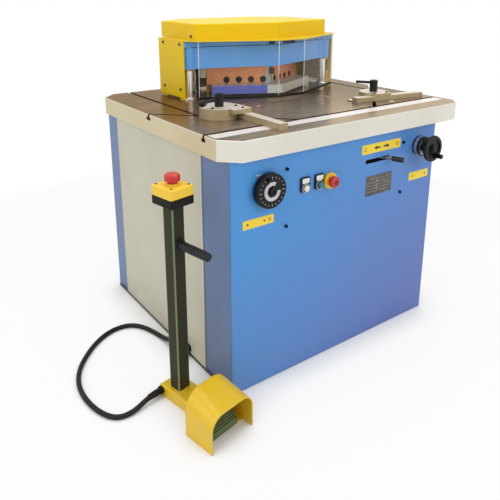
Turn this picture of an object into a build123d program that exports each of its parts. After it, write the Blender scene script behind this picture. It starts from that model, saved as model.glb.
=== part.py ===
from build123d import *
from math import acos, atan2, cos, degrees, pi, radians, sin, sqrt, tan
import os

os.makedirs("parts", exist_ok=True)

# Cabinet
cabinet_w = 990
cabinet_d = 945
table_top = 900
apron_h = 68
sheet = 3
floor_gap = 2
front_return = 164
rear_return = 97
panel_t = 6
panel_gap = 1
bend_r = 5
rail_w = 50
rail_h = 60
centre_rail_w = 80
top_rail_h = 40
mid_post_w = 40
side_rail_drop = 132
side_rail_h = 70
upright_w = 50
upright_d = 30
anchor_r = 9
anchor_inset = 150
air_slots = 7
air_slot_l = 180
air_slot_w = 9
air_slot_pitch = 26

# Table
left_over = 29
right_over = 122
front_over = 29
back_over = 7
left_cut = 58
right_cut = 44
plate_t = 40
skirt_t = 24
slot_w = 14
slot_depth = 12
slot_head_w = 24
slot_head_h = 10
slot_a_in = 103
slot_c_in = 102.5
slot_c_margin = 15
slot_d_in = 99
apron_edge_r = 4

# Head
head_x = 105
apex_y = 100.5
arm_angle = 27
die_r = 285
die_t = 24
die_gap = 0.3
chute_reach = 112
column_r = 18
column_x = 365
column_y = 177.5
rear_column_x = 250
rear_column_y = 328
bush_r = 24
bush_flange_r = 29
bush_flange_t = 6
ear_r = 30
ram_lift = 125
ram_h = 86
ram_half = 310
ram_nose_y = 47.5
ram_corner_y = 152.5
ram_back_y = 352
stroke = 20
crown_t = 24
brim_lift = 237
guard_half = 400
guard_front_y = 149.5
guard_back_y = 366.5
guard_lift = 10
guard_screw_y = (181, 320)
guard_screw_lift = 44
cover_screw_r = 3
cover_head_r = 6
foot_rail_t = 10
cap_half = 346
cap_h = 67
cap_nose_y = 57.5
cap_corner_y = 145.5
cap_side_y = 437
cap_back_y = 547
cap_back_cut = 150
shield_half = 67
shield_front_y = -35.5
shield_end_x = 360
shield_end_y = 103.5
shield_t = 5
shield_lift = 8
blade_lift = 12
blade_t = 26
blade_l = 280
blade_tip = 27
blade_hole_lift = 62
blade_hole_first = 36
blade_hole_pitch = 53
blade_hole_r = 6
blade_bore_r = 14
blade_bore_d = 8
guide_pin_r = 7.5
guide_pin_h = 10
guide_radii = (95, 200)
swing = 30
stripper_lift = 12
stripper_h = 35
stripper_d = 70
stripper_l = 262
foot_l = 36
shear_gap = 0.1

# Cylinder and power pack
rod_r = 30
rod_y = 290
barrel_r = 75
barrel_bore_r = 60
barrel_h = 300
barrel_flange_r = 100
piston_h = 40
tank_w = 400
tank_d = 460
tank_h = 250
tank_wall = 5
lid_t = 8
tank_in_x = 270
tank_in_y = 262.5
motor_r = 85
motor_l = 260
motor_ahead = 98
pump_l = 80
valve_w = 120
valve_h = 125
hose_r = 11
box_w = 150
box_d = 300
box_h = 320

# Front controls, measured from the nearer side and from the top of the cabinet
dial_inset = 142
dial_drop = 114
dial_r = 59
dial_t = 22
dial_stand = 7
shaft_r = 8
bar_back = 230
bar_d = 30
bar_h = 110
wheel_inset = 97
wheel_drop = 87
wheel_r = 51.5
wheel_t = 14
wheel_rim_r = 5
wheel_stand = 58
indicator_r = 39
indicator_t = 28
knob_r = 9
knob_l = 20
crank_r = 37
crank_angle = -55
lead_r = 11
nut_w = 56
nut_l = 44
guide_rod_r = 7
guide_drop = 48
lever_slot_l = 131
lever_slot_h = 16
lever_inset = 330
lever_drop = 106
lever_r = 6
lever_back = 150
lever_lean = 18
lever_reach = 64
lever_grip_l = 46
lever_grip_r = 10
bolt_left_inset = 223
bolt_right_inset = 192
bolt_low_drop = 262
bolt_high_drop = 61
bolt_head_r = 5.5
holder_w = 40
holder_h = 51
holder_t = 7
holder_drop = 130
button_drop = 142
button_r = 11
start_inset = 302
lamp_pitch = 63
estop_pitch = 114
estop_drop = 138
collar_r = 29
collar_t = 9
mushroom_r = 20

# Fences
fence_in_x = 157
fence_in_y = 300.5
fence_disc_r = 70
fence_disc_h = 22
fence_plate_t = 16
fence_bar_w = 35
fence_bar_left = 41
fence_bar_end = 291
stud_r = 8
hub_r = 16
right_fence_in_x = 121
right_fence_in_y = 229.5
right_disc_r = 58
right_plate_w = 84
right_plate_t = 10
right_bar_front = 62
right_bar_left = 125
right_bar_right = 210
right_bar_h = 19
right_bar_tilt = -9.5
flag_l = 40
flag_w = 35
flag_t = 4

# Foot pedal
pedal_out = 105
pedal_ahead = 163
pedal_turn = 11
hood_w = 176
hood_d = 119
hood_front_h = 123
hood_back_h = 152
hood_front_r = 48
hood_back_r = 64
hood_wall = 4
neck_x = 18
neck_w = 84
neck_end = 330
neck_h = 40
foot_plate_t = 4
foot_plate_in = 40
treadle_x = -8
treadle_inset = 34
treadle_front = 28
treadle_back = 111
treadle_low = 15
treadle_lip = 40
treadle_high = 64
hinge_y = 103
hinge_z = 27
hinge_r = 5
cheek_t = 8
post_y = 272
post_w = 48
post_wall = 3
post_top = 702
box_base_w = 92
box_base_d = 98
box_base_h = 28
box_cover_h = 32
handle_z = 569
handle_r = 13.5
handle_l = 137
post_mushroom_r = 25
cable_r = 8.5
cable_z = 9
elbow_in = 285.5
elbow_z = 30
gland_y = 318
gland_z = 22

# Fits
run_fit = 0.05
lay_fit = 0.3
slide_fit = 0.1
screw_fit = 0.2

x_left = -cabinet_w / 2
x_right = cabinet_w / 2
y_front = -cabinet_d / 2
y_back = cabinet_d / 2
cabinet_h = table_top - apron_h
inner_w = cabinet_w - 2 * sheet
inner_d = cabinet_d - 2 * sheet
table_l = x_left - left_over
table_r = x_right + right_over
table_f = y_front - front_over
table_b = y_back + back_over
side_rail_z = cabinet_h - side_rail_drop
slot_a_x = x_left + slot_a_in
slot_c_y = y_front + slot_c_in
slot_c_end = table_r - slot_c_margin
fence_x = x_left + fence_in_x
fence_y = y_front + fence_in_y
slot_b_sum = fence_x + fence_y
right_hub_x = x_right - right_fence_in_x
right_hub_y = y_front + right_fence_in_y
slot_d_x = table_r - slot_d_in
slot_e_diff = right_hub_x - right_hub_y
ram_z = table_top + ram_lift
blade_z = table_top + blade_lift
blade_hole_z = table_top + blade_hole_lift
stripper_z = table_top + stripper_lift
brim_z = table_top + brim_lift
cap_top = brim_z + cap_h
crown_z = brim_z - crown_t
guard_screw_z = table_top + guard_screw_lift
plate_bottom = table_top - plate_t
tank_x = x_left + tank_in_x
tank_y = y_back - tank_in_y
motor_y = tank_y - motor_ahead
dial_x = x_left + dial_inset
dial_z = cabinet_h - dial_drop
wheel_x = x_right - wheel_inset
wheel_z = cabinet_h - wheel_drop
lever_x = x_right - lever_inset
lever_z = cabinet_h - lever_drop
start_x = x_left + start_inset
lamp_x = start_x + lamp_pitch
estop_x = start_x + estop_pitch
button_z = cabinet_h - button_drop
holder_z = cabinet_h - holder_drop
estop_z = cabinet_h - estop_drop
bolt_left_x = x_left + bolt_left_inset
bolt_right_x = x_right - bolt_right_inset
bar_y = y_front + bar_back
elbow_y = y_front + elbow_in
treadle_w = hood_w - 2 * treadle_inset
pedal_x = x_left - pedal_out
pedal_y = y_front - pedal_ahead
columns = [
    (head_x - column_x, column_y),
    (head_x + column_x, column_y),
    (head_x - rear_column_x, rear_column_y),
    (head_x + rear_column_x, rear_column_y),
]
bolt_drops = (bolt_low_drop, bolt_high_drop)
bolts = [(x, cabinet_h - drop) for x in (bolt_left_x, bolt_right_x) for drop in bolt_drops]
guard_screws = [(y, z) for y in guard_screw_y for z in (guard_screw_z, brim_z - crown_t / 2)]
pedal = Plane(
    origin=(pedal_x, pedal_y, 0),
    x_dir=(cos(radians(pedal_turn)), sin(radians(pedal_turn)), 0),
    z_dir=(0, 0, 1),
)


def save(builder, name):
    """Label a finished part and write it as one STEP file."""
    builder.part.label = name
    export_step(builder.part, f"parts/{name}.step")


def save_solids(solids, name):
    """Write solids that meet face to face as one STEP file."""
    group = Compound(solids)
    group.label = name
    export_step(group, f"parts/{name}.step")


def front_plane(ahead=0):
    """Plane parallel to the front panel, x to the right, y up, facing the operator."""
    return Plane(origin=(0, y_front - ahead, 0), x_dir=(1, 0, 0), z_dir=(0, -1, 0))


def side_plane(x, side):
    """Plane parallel to a cabinet side, facing outwards."""
    return Plane(origin=(x, 0, 0), x_dir=(0, side, 0), z_dir=(side, 0, 0))


def pedal_point(x, y, z=0):
    """Pedal coordinates to the shared frame."""
    return pedal.from_local_coords(Vector(x, y, z))


def pedal_section(y):
    """Upright plane across the pedal at depth y, facing the operator."""
    return Plane(origin=pedal_point(0, y), x_dir=pedal.x_dir, z_dir=pedal.y_dir * -1)


def arm(side, along, ahead):
    """Plan point measured along one shear line and towards the operator from it."""
    turn = radians(arm_angle)
    return (
        head_x + side * (along * cos(turn) + ahead * sin(turn)),
        apex_y + along * sin(turn) - ahead * cos(turn),
    )


def polygon(points, mode=Mode.ADD):
    """Put a closed polygon into the current sketch."""
    Polygon(*points, align=None, mode=mode)


def tangent_radii(points, share=0.45):
    """Radii that keep a straight run between the arcs of a bent tube."""
    vectors = [Vector(*p) for p in points]
    radii = []
    for before, here, after in zip(vectors, vectors[1:], vectors[2:]):
        first, second = here - before, after - here
        cosine = first.dot(second) / (first.length * second.length)
        half = acos(max(-1, min(1, cosine))) / 2
        radii.append(share * min(first.length, second.length) / tan(half))
    return radii


def head_points(half, nose, corner, back, inset=0):
    """Plan of the head: a blunt V in front and a straight back."""
    return [
        (head_x, nose + inset),
        (head_x + half, corner + inset),
        (head_x + half, back),
        (head_x - half, back),
        (head_x - half, corner + inset),
    ]


cap_points = [
    (head_x, cap_nose_y),
    (head_x + cap_half, cap_corner_y),
    (head_x + cap_half, cap_side_y),
    (head_x + cap_half - cap_back_cut, cap_back_y),
    (head_x - cap_half + cap_back_cut, cap_back_y),
    (head_x - cap_half, cap_side_y),
    (head_x - cap_half, cap_corner_y),
]
slots = [
    ((slot_a_x, slot_b_sum - slot_a_x), (slot_a_x, table_b + 20)),
    ((table_l - 20, slot_b_sum - table_l + 20), (slot_b_sum - slot_c_y, slot_c_y)),
    ((table_l - 20, slot_c_y), (slot_c_end, slot_c_y)),
    ((slot_d_x, slot_d_x - slot_e_diff), (slot_d_x, table_b + 20)),
    ((slot_e_diff + slot_c_y, slot_c_y), (table_r + 20, table_r + 20 - slot_e_diff)),
]


def table_outline():
    """Plan of the table with its cut corners."""
    polygon(
        [
            (table_l + left_cut, table_f),
            (table_r - right_cut, table_f),
            (table_r, table_f + right_cut),
            (table_r, table_b - right_cut),
            (table_r - right_cut, table_b),
            (table_l + left_cut, table_b),
            (table_l, table_b - left_cut),
            (table_l, table_f + left_cut),
        ]
    )


def slot_strips(width):
    """Strips along the table slots."""
    for (x0, y0), (x1, y1) in slots:
        length = sqrt((x1 - x0) ** 2 + (y1 - y0) ** 2)
        with Locations(((x0 + x1) / 2, (y0 + y1) / 2)):
            Rectangle(length, width, rotation=degrees(atan2(y1 - y0, x1 - x0)))


with BuildPart() as base_frame:
    with BuildSketch():
        Rectangle(inner_w, inner_d)
        Rectangle(inner_w - 2 * rail_w, inner_d - 2 * rail_w, mode=Mode.SUBTRACT)
        Rectangle(inner_w, centre_rail_w)
    extrude(amount=rail_h)
    with BuildSketch(Plane.XY.offset(rail_h)):
        with GridLocations(inner_w - rail_w, inner_d - rail_w, 2, 2):
            Rectangle(rail_w, rail_w)
        for x in (-(inner_w - rail_w) / 2, (inner_w - rail_w) / 2):
            with Locations((x, y_front + front_return), (x, y_back - rear_return)):
                Rectangle(rail_w, mid_post_w)
        with Locations(
            (bolt_left_x, y_front + sheet + upright_d / 2),
            (bolt_right_x, y_front + sheet + upright_d / 2),
        ):
            Rectangle(upright_w, upright_d)
    extrude(amount=cabinet_h - rail_h)
    with BuildSketch(Plane.XY.offset(cabinet_h - top_rail_h)):
        Rectangle(inner_w, inner_d)
        Rectangle(inner_w - 2 * rail_w, inner_d - 2 * rail_w, mode=Mode.SUBTRACT)
    extrude(amount=top_rail_h)
    with BuildSketch(Plane.XY.offset(side_rail_z)):
        with GridLocations(inner_w - rail_w, 0, 2, 1):
            Rectangle(rail_w, inner_d)
    extrude(amount=side_rail_h)
    with BuildSketch(Plane.XY.offset(side_rail_z - 30)):
        with Locations((0, bar_y)):
            Rectangle(inner_w, bar_d)
    extrude(amount=bar_h)
    with BuildSketch(Plane.XY.offset(lever_z - 30)):
        with Locations((lever_x, y_front + (lever_back + bar_back) / 2)):
            Rectangle(60, bar_back - lever_back + 50)
    extrude(amount=12)
    with BuildSketch(Plane.XY.offset(lever_z - 30)):
        with Locations((lever_x, y_front + lever_back)):
            Circle(stud_r)
    extrude(amount=44)
    with BuildSketch(front_plane(-sheet - 1)):
        with Locations((wheel_x, wheel_z - guide_drop)):
            Circle(guide_rod_r)
    extrude(amount=-(bar_back - sheet - 1))
    with GridLocations(inner_w - rail_w, cabinet_d - 2 * anchor_inset, 2, 2):
        Hole(anchor_r, depth=rail_h)
    with BuildSketch(front_plane(-bar_back - bar_d)):
        with Locations((dial_x, dial_z), (wheel_x, wheel_z)):
            Circle(shaft_r + run_fit)
    extrude(amount=2 * bar_d, mode=Mode.SUBTRACT)
    with BuildSketch(front_plane(-sheet)):
        with Locations(*bolts):
            Circle(bolt_head_r * 0.6 + run_fit)
    extrude(amount=-upright_d, mode=Mode.SUBTRACT)
save(base_frame, "base_frame")

with BuildPart() as front_shell:
    with BuildSketch(Plane.XY.offset(floor_gap)):
        polygon(
            [
                (x_left, y_front),
                (x_right, y_front),
                (x_right, y_front + front_return),
                (x_right - sheet, y_front + front_return),
                (x_right - sheet, y_front + sheet),
                (x_left + sheet, y_front + sheet),
                (x_left + sheet, y_front + front_return),
                (x_left, y_front + front_return),
            ]
        )
    extrude(amount=cabinet_h - floor_gap)
    fillet(front_shell.edges().filter_by(Axis.Z).group_by(Axis.Y)[0], bend_r)
    with BuildSketch(front_plane(1)):
        with Locations((dial_x, dial_z), (wheel_x, wheel_z)):
            Circle(shaft_r + 1)
        with Locations((start_x, button_z), (lamp_x, button_z), (estop_x, estop_z)):
            Circle(button_r + 0.3)
        with Locations((lever_x, lever_z)):
            SlotOverall(lever_slot_l, lever_slot_h)
        with Locations(*bolts):
            Circle(bolt_head_r * 0.6 + 0.3)
    extrude(amount=-sheet - 2, mode=Mode.SUBTRACT)
save(front_shell, "front_shell")

with BuildPart() as rear_shell:
    with BuildSketch(Plane.XY.offset(floor_gap)):
        polygon(
            [
                (x_left, y_back),
                (x_left, y_back - rear_return),
                (x_left + sheet, y_back - rear_return),
                (x_left + sheet, y_back - sheet),
                (x_right - sheet, y_back - sheet),
                (x_right - sheet, y_back - rear_return),
                (x_right, y_back - rear_return),
                (x_right, y_back),
            ]
        )
    extrude(amount=cabinet_h - floor_gap)
    fillet(rear_shell.edges().filter_by(Axis.Z).group_by(Axis.Y)[-1], bend_r)
    with BuildSketch(Plane.XZ.offset(-y_back + sheet + 1)):
        with Locations((-cabinet_w / 4, cabinet_h * 0.62), (cabinet_w / 4, cabinet_h * 0.62)):
            with GridLocations(0, air_slot_pitch, 1, air_slots):
                SlotOverall(air_slot_l, air_slot_w)
    extrude(amount=-sheet - 2, mode=Mode.SUBTRACT)
save(rear_shell, "rear_shell")


def side_panel(side, slotted):
    """Flat side panel between the folded returns of the two shells."""
    length = cabinet_d - front_return - rear_return - 2 * panel_gap
    middle = (y_front + front_return + y_back - rear_return) / 2
    with BuildPart() as panel:
        with BuildSketch(side_plane(side * (cabinet_w / 2 - sheet), side)):
            with Locations((side * middle, (cabinet_h + floor_gap) / 2)):
                Rectangle(length, cabinet_h - floor_gap - 2)
            if slotted:
                with Locations((side * middle, cabinet_h * 0.62)):
                    with GridLocations(0, air_slot_pitch, 1, air_slots):
                        SlotOverall(air_slot_l, air_slot_w, mode=Mode.SUBTRACT)
            else:
                with Locations((side * elbow_y, elbow_z)):
                    Circle(8, mode=Mode.SUBTRACT)
        extrude(amount=panel_t)
    return panel


left_panel = side_panel(-1, False)
save(left_panel, "left_panel")
right_panel = side_panel(1, True)
save(right_panel, "right_panel")

with BuildPart() as front_bolts:
    with BuildSketch(front_plane()):
        with Locations(*bolts):
            Circle(bolt_head_r)
    extrude(amount=6)
    with BuildSketch(front_plane(6)):
        with Locations(*bolts):
            RegularPolygon(bolt_head_r * 0.5, 6)
    extrude(amount=-4, mode=Mode.SUBTRACT)
    with BuildSketch(front_plane()):
        with Locations(*bolts):
            Circle(bolt_head_r * 0.6)
    extrude(amount=-sheet - upright_d + 4)
save(front_bolts, "front_bolts")

with BuildPart() as table:
    with BuildSketch(Plane.XY.offset(plate_bottom)):
        table_outline()
    extrude(amount=plate_t)
    fillet(table.faces().sort_by(Axis.Z)[-1].edges(), apron_edge_r)
    with BuildSketch(Plane.XY.offset(cabinet_h)):
        table_outline()
        offset(amount=-skirt_t, kind=Kind.INTERSECTION, mode=Mode.SUBTRACT)
        Rectangle(inner_w, inner_d)
        Rectangle(inner_w - 2 * rail_w, inner_d - 2 * rail_w, mode=Mode.SUBTRACT)
    extrude(amount=apron_h - plate_t)
    with BuildSketch(Plane.XY.offset(table_top)):
        slot_strips(slot_w)
    extrude(amount=-slot_depth - 1, mode=Mode.SUBTRACT)
    with BuildSketch(Plane.XY.offset(table_top - slot_depth)):
        slot_strips(slot_head_w)
    extrude(amount=-slot_head_h, mode=Mode.SUBTRACT)
    with BuildSketch(Plane.XY.offset(table_top)):
        with Locations((head_x, apex_y)):
            Circle(die_r + die_gap)
    extrude(amount=-die_t, mode=Mode.SUBTRACT)
    with BuildSketch(Plane.XY.offset(table_top)):
        with Locations((head_x, apex_y)):
            Circle(chute_reach)
            Circle(chute_reach / 5, mode=Mode.SUBTRACT)
        polygon(
            [
                (head_x, apex_y),
                (head_x + 2 * chute_reach, apex_y + 1.7 * chute_reach),
                (head_x - 2 * chute_reach, apex_y + 1.7 * chute_reach),
            ],
            Mode.INTERSECT,
        )
    extrude(amount=-plate_t, mode=Mode.SUBTRACT)
    with BuildSketch(Plane.XY.offset(table_top)):
        with Locations((head_x, rod_y)):
            Circle(rod_r + 1)
        with Locations(*columns):
            Circle(column_r + run_fit)
    extrude(amount=-plate_t, mode=Mode.SUBTRACT)

# The table in courses, parted along its slots
slot_floor = table_top - slot_depth - slot_head_h
slot_a_plane = Plane(origin=(slot_a_x, 0, 0), z_dir=(1, 0, 0))
slot_b_plane = Plane(origin=(slot_b_sum, 0, 0), z_dir=(1, 1, 0))
slot_c_plane = Plane(origin=(0, slot_c_y, 0), z_dir=(0, 1, 0))
slot_d_plane = Plane(origin=(slot_d_x, 0, 0), z_dir=(1, 0, 0))
slot_e_plane = Plane(origin=(slot_e_diff, 0, 0), z_dir=(1, -1, 0))
slot_end_plane = Plane(origin=(slot_c_end, 0, 0), z_dir=(1, 0, 0))


def halves(piece, plane):
    """The two sides of a piece, first the one behind the plane."""
    return split(piece, plane, keep=Keep.BOTTOM), split(piece, plane, keep=Keep.TOP)


base_course, upper = halves(table.part, Plane.XY.offset(slot_floor))
table_solids = [base_course]
for course in halves(upper, Plane.XY.offset(table_top - slot_depth)):
    slotted, end_strip = halves(course, slot_end_plane)
    front_strip, back = halves(slotted, slot_c_plane)
    left_corner, rest = halves(back, slot_b_plane)
    middle, right_corner = halves(rest, slot_e_plane)
    left_strip, inner = halves(middle, slot_a_plane)
    main, right_strip = halves(inner, slot_d_plane)
    table_solids += [front_strip, left_corner, right_corner, left_strip, main, right_strip]
    table_solids += halves(end_strip, slot_e_plane)
save_solids([piece.solid() for piece in table_solids], "table")

with BuildPart() as guide_columns:
    with BuildSketch(Plane.XY.offset(plate_bottom)):
        with Locations(*columns):
            Circle(column_r)
    extrude(amount=brim_z - plate_bottom)
save(guide_columns, "guide_columns")

with BuildPart() as head_crown:
    crown_half = guard_half - sheet - lay_fit
    crown_back = guard_back_y - sheet - lay_fit
    with BuildSketch(Plane.XY.offset(crown_z)):
        polygon(head_points(ram_half, ram_nose_y, ram_corner_y, crown_back, 4))
        with Locations((head_x, (guard_front_y + 2 + crown_back) / 2)):
            Rectangle(2 * crown_half, crown_back - guard_front_y - 2)
        with Locations(*columns):
            Circle(column_r + run_fit, mode=Mode.SUBTRACT)
    extrude(amount=crown_t)
    for side in (-1, 1):
        with BuildSketch(side_plane(head_x + side * guard_half, side)):
            with Locations(*[(side * y, brim_z - crown_t / 2) for y in guard_screw_y]):
                Circle(cover_screw_r + screw_fit)
        extrude(amount=-sheet - 14, mode=Mode.SUBTRACT)
save(head_crown, "head_crown")

with BuildPart() as ram:
    with BuildSketch(Plane.XY.offset(ram_z)):
        polygon(head_points(ram_half, ram_nose_y, ram_corner_y, ram_back_y))
        for side in (-1, 1):
            with Locations((head_x + side * (column_x + ram_half) / 2, column_y)):
                Rectangle(column_x - ram_half + 30, 2 * ear_r - 10)
            with Locations((head_x + side * column_x, column_y)):
                Circle(ear_r)
        with Locations(*columns):
            Circle(bush_r + run_fit, mode=Mode.SUBTRACT)
    extrude(amount=ram_h)
    for side in (-1, 1):
        low, high = radians(arm_angle - 2), radians(arm_angle + swing + 14)
        for reach in guide_radii:
            with BuildSketch(Plane.XY.offset(ram_z)):
                with Locations((head_x, apex_y)):
                    Circle(reach + guide_pin_r + lay_fit)
                    Circle(reach - guide_pin_r - lay_fit, mode=Mode.SUBTRACT)
                polygon(
                    [
                        (head_x, apex_y),
                        (head_x + side * 400 * cos(low), apex_y + 400 * sin(low)),
                        (head_x + side * 400 * cos(high), apex_y + 400 * sin(high)),
                    ],
                    Mode.INTERSECT,
                )
            extrude(amount=guide_pin_h + 1, mode=Mode.SUBTRACT)
    with BuildSketch(Plane.XY.offset(ram_z)):
        with Locations((head_x, rod_y)):
            Circle(rod_r + run_fit)
    extrude(amount=ram_h / 2, mode=Mode.SUBTRACT)
save(ram, "ram")

with BuildPart() as ram_bushes:
    with BuildSketch(Plane.XY.offset(ram_z)):
        with Locations(*columns):
            Circle(bush_r)
            Circle(column_r + run_fit, mode=Mode.SUBTRACT)
    extrude(amount=ram_h)
    with BuildSketch(Plane.XY.offset(ram_z)):
        with Locations(*columns):
            Circle(bush_flange_r)
            Circle(column_r + run_fit, mode=Mode.SUBTRACT)
    extrude(amount=-bush_flange_t)
save(ram_bushes, "ram_bushes")

piston_z = plate_bottom - 20 - stroke - piston_h - 20
with BuildPart() as piston_rod:
    with BuildSketch(Plane.XY.offset(piston_z)):
        with Locations((head_x, rod_y)):
            Circle(barrel_bore_r - run_fit)
    extrude(amount=piston_h)
    with BuildSketch(Plane.XY.offset(piston_z)):
        with Locations((head_x, rod_y)):
            Circle(rod_r)
    extrude(amount=ram_z + ram_h / 2 - piston_z)
save(piston_rod, "piston_rod")

barrel_z = plate_bottom - barrel_h
port_x = head_x - barrel_r - 12
port_zs = (barrel_z + 40, plate_bottom - 45)
with BuildPart() as cylinder_barrel:
    with BuildSketch(Plane.XY.offset(barrel_z)):
        with Locations((head_x, rod_y)):
            Circle(barrel_r)
    extrude(amount=barrel_h)
    with BuildSketch(Plane.XY.offset(plate_bottom - 20)):
        with Locations((head_x, rod_y)):
            Circle(barrel_flange_r)
    extrude(amount=20)
    for port_z in port_zs:
        with BuildSketch(Plane(origin=(port_x, rod_y, port_z), z_dir=(1, 0, 0))):
            Circle(hose_r + 7)
        extrude(amount=30)
    with BuildSketch(Plane.XY.offset(barrel_z + 20)):
        with Locations((head_x, rod_y)):
            Circle(barrel_bore_r)
    extrude(amount=barrel_h - 40, mode=Mode.SUBTRACT)
    with BuildSketch(Plane.XY.offset(plate_bottom - 30)):
        with Locations((head_x, rod_y)):
            Circle(rod_r + run_fit)
    extrude(amount=40, mode=Mode.SUBTRACT)
save(cylinder_barrel, "cylinder_barrel")


def upper_blade(side):
    """Blade that hangs under the ram and turns about the shear corner."""
    with BuildPart() as blade:
        with BuildSketch(Plane.XY.offset(blade_z)):
            tip = 2 + blade_t / tan(radians(blade_tip))
            polygon(
                [
                    arm(side, 2, -shear_gap),
                    arm(side, blade_l, -shear_gap),
                    arm(side, blade_l, -blade_t),
                    arm(side, tip, -blade_t),
                ]
            )
        extrude(amount=ram_z - slide_fit - blade_z)
        with BuildSketch(Plane.XY.offset(ram_z - slide_fit)):
            for reach in guide_radii:
                with Locations(arm(side, sqrt(reach**2 - blade_t**2 / 4), -blade_t / 2)):
                    Circle(guide_pin_r)
        extrude(amount=guide_pin_h)
        turn = radians(arm_angle)
        for step in range(4):
            x, y = arm(side, blade_hole_first + step * blade_hole_pitch, -shear_gap)
            facing = (side * sin(turn), -cos(turn), 0)
            with Locations(Plane(origin=(x, y, blade_hole_z), z_dir=facing)):
                CounterBoreHole(blade_hole_r, blade_bore_r, blade_bore_d, depth=blade_t + 5)
    return blade


upper_blade_left = upper_blade(-1)
save(upper_blade_left, "upper_blade_left")
upper_blade_right = upper_blade(1)
save(upper_blade_right, "upper_blade_right")


def lower_die(side):
    """Flush die plate, a sector that turns in the table's round pocket."""
    with BuildPart() as die:
        with BuildSketch(Plane.XY.offset(table_top)):
            with Locations((head_x, apex_y)):
                Circle(die_r)
            polygon(
                [
                    (head_x + side * shear_gap, apex_y - 0.2),
                    arm(side, 0.2, shear_gap),
                    arm(side, 2 * die_r, shear_gap),
                    (head_x + side * 3 * die_r, apex_y - 2 * die_r),
                    (head_x + side * shear_gap, apex_y - 2 * die_r),
                ],
                Mode.INTERSECT,
            )
        extrude(amount=-die_t + slide_fit)
    return die


lower_die_left = lower_die(-1)
save(lower_die_left, "lower_die_left")
lower_die_right = lower_die(1)
save(lower_die_right, "lower_die_right")


def stripper(side):
    """Hold-down arm in front of one blade, on a foot at its outer end."""

    def mitre(ahead):
        return (0.4 - ahead * sin(radians(arm_angle))) / cos(radians(arm_angle))

    with BuildPart() as hold:
        with BuildSketch(Plane.XY.offset(stripper_z)):
            polygon(
                [
                    arm(side, mitre(1), 1),
                    arm(side, stripper_l, 1),
                    arm(side, stripper_l, stripper_d),
                    arm(side, mitre(stripper_d), stripper_d),
                ]
            )
        extrude(amount=stripper_h)
        with BuildSketch(Plane.XY.offset(table_top)):
            polygon(
                [
                    arm(side, stripper_l - foot_l, 16),
                    arm(side, stripper_l, 16),
                    arm(side, stripper_l, stripper_d),
                    arm(side, stripper_l - foot_l, stripper_d),
                ]
            )
        extrude(amount=stripper_z - table_top)
    return hold


stripper_left = stripper(-1)
save(stripper_left, "stripper_left")
stripper_right = stripper(1)
save(stripper_right, "stripper_right")

with BuildPart() as guard_cap:
    with BuildSketch(Plane.XY.offset(brim_z)):
        polygon(
            [
                (head_x - shield_half - 2, shield_front_y - 3),
                (head_x + shield_half + 2, shield_front_y - 3),
                (head_x + shield_end_x + 2, shield_end_y - 3),
                (head_x + guard_half, guard_front_y),
                (head_x + guard_half, guard_back_y),
                (head_x - guard_half, guard_back_y),
                (head_x - guard_half, guard_front_y),
                (head_x - shield_end_x - 2, shield_end_y - 3),
            ]
        )
    extrude(amount=sheet)
    with BuildSketch(Plane.XY.offset(brim_z)):
        polygon(cap_points)
    extrude(amount=cap_top - brim_z)
    fillet(guard_cap.faces().sort_by(Axis.Z)[-1].edges(), bend_r)
    with BuildSketch(Plane.XY.offset(brim_z - 1)):
        polygon(cap_points)
        offset(amount=-sheet, kind=Kind.INTERSECTION, mode=Mode.REPLACE)
    extrude(amount=cap_top - sheet - brim_z + 1, mode=Mode.SUBTRACT)
    for side in (-1, 1):
        with BuildSketch(side_plane(head_x + side * cap_half, side)):
            with Locations((side * guard_screw_y[0], brim_z + 16)):
                Circle(cover_screw_r + screw_fit)
        extrude(amount=-sheet - 1, mode=Mode.SUBTRACT)
save(guard_cap, "guard_cap")

with BuildPart() as guard_sides:
    with BuildSketch(Plane.XY.offset(table_top + guard_lift)):
        polygon(
            [
                (head_x - guard_half, guard_front_y),
                (head_x - guard_half, guard_back_y),
                (head_x + guard_half, guard_back_y),
                (head_x + guard_half, guard_front_y),
                (head_x + guard_half - sheet, guard_front_y),
                (head_x + guard_half - sheet, guard_back_y - sheet),
                (head_x - guard_half + sheet, guard_back_y - sheet),
                (head_x - guard_half + sheet, guard_front_y),
            ]
        )
    extrude(amount=brim_z - table_top - guard_lift)
    fillet(guard_sides.edges().filter_by(Axis.Z).group_by(Axis.Y)[-1], bend_r)
    for side in (-1, 1):
        rail_x = head_x + side * (guard_half - sheet - foot_rail_t / 2)
        with BuildSketch(Plane.XY.offset(guard_screw_z - 24)):
            with Locations((rail_x, sum(guard_screw_y) / 2)):
                Rectangle(foot_rail_t, guard_screw_y[1] - guard_screw_y[0] + 24)
        extrude(amount=40)
        with BuildSketch(Plane.XY.offset(table_top)):
            with Locations(*[(rail_x, y) for y in guard_screw_y]):
                Rectangle(foot_rail_t, 24)
        extrude(amount=guard_screw_z - 24 - table_top)
        with BuildSketch(side_plane(head_x + side * guard_half, side)):
            with Locations(*[(side * y, z) for y, z in guard_screws]):
                Circle(cover_screw_r + screw_fit)
        extrude(amount=-sheet - foot_rail_t, mode=Mode.SUBTRACT)
save(guard_sides, "guard_sides")

with BuildPart() as guard_shield:
    with BuildSketch(Plane.XY.offset(table_top + shield_lift)):
        front = [
            (head_x - shield_end_x, shield_end_y),
            (head_x - shield_half, shield_front_y),
            (head_x + shield_half, shield_front_y),
            (head_x + shield_end_x, shield_end_y),
        ]
        polygon(front + [(x, y + shield_t) for x, y in reversed(front)])
    extrude(amount=brim_z - table_top - shield_lift)
save(guard_shield, "guard_shield")

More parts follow.
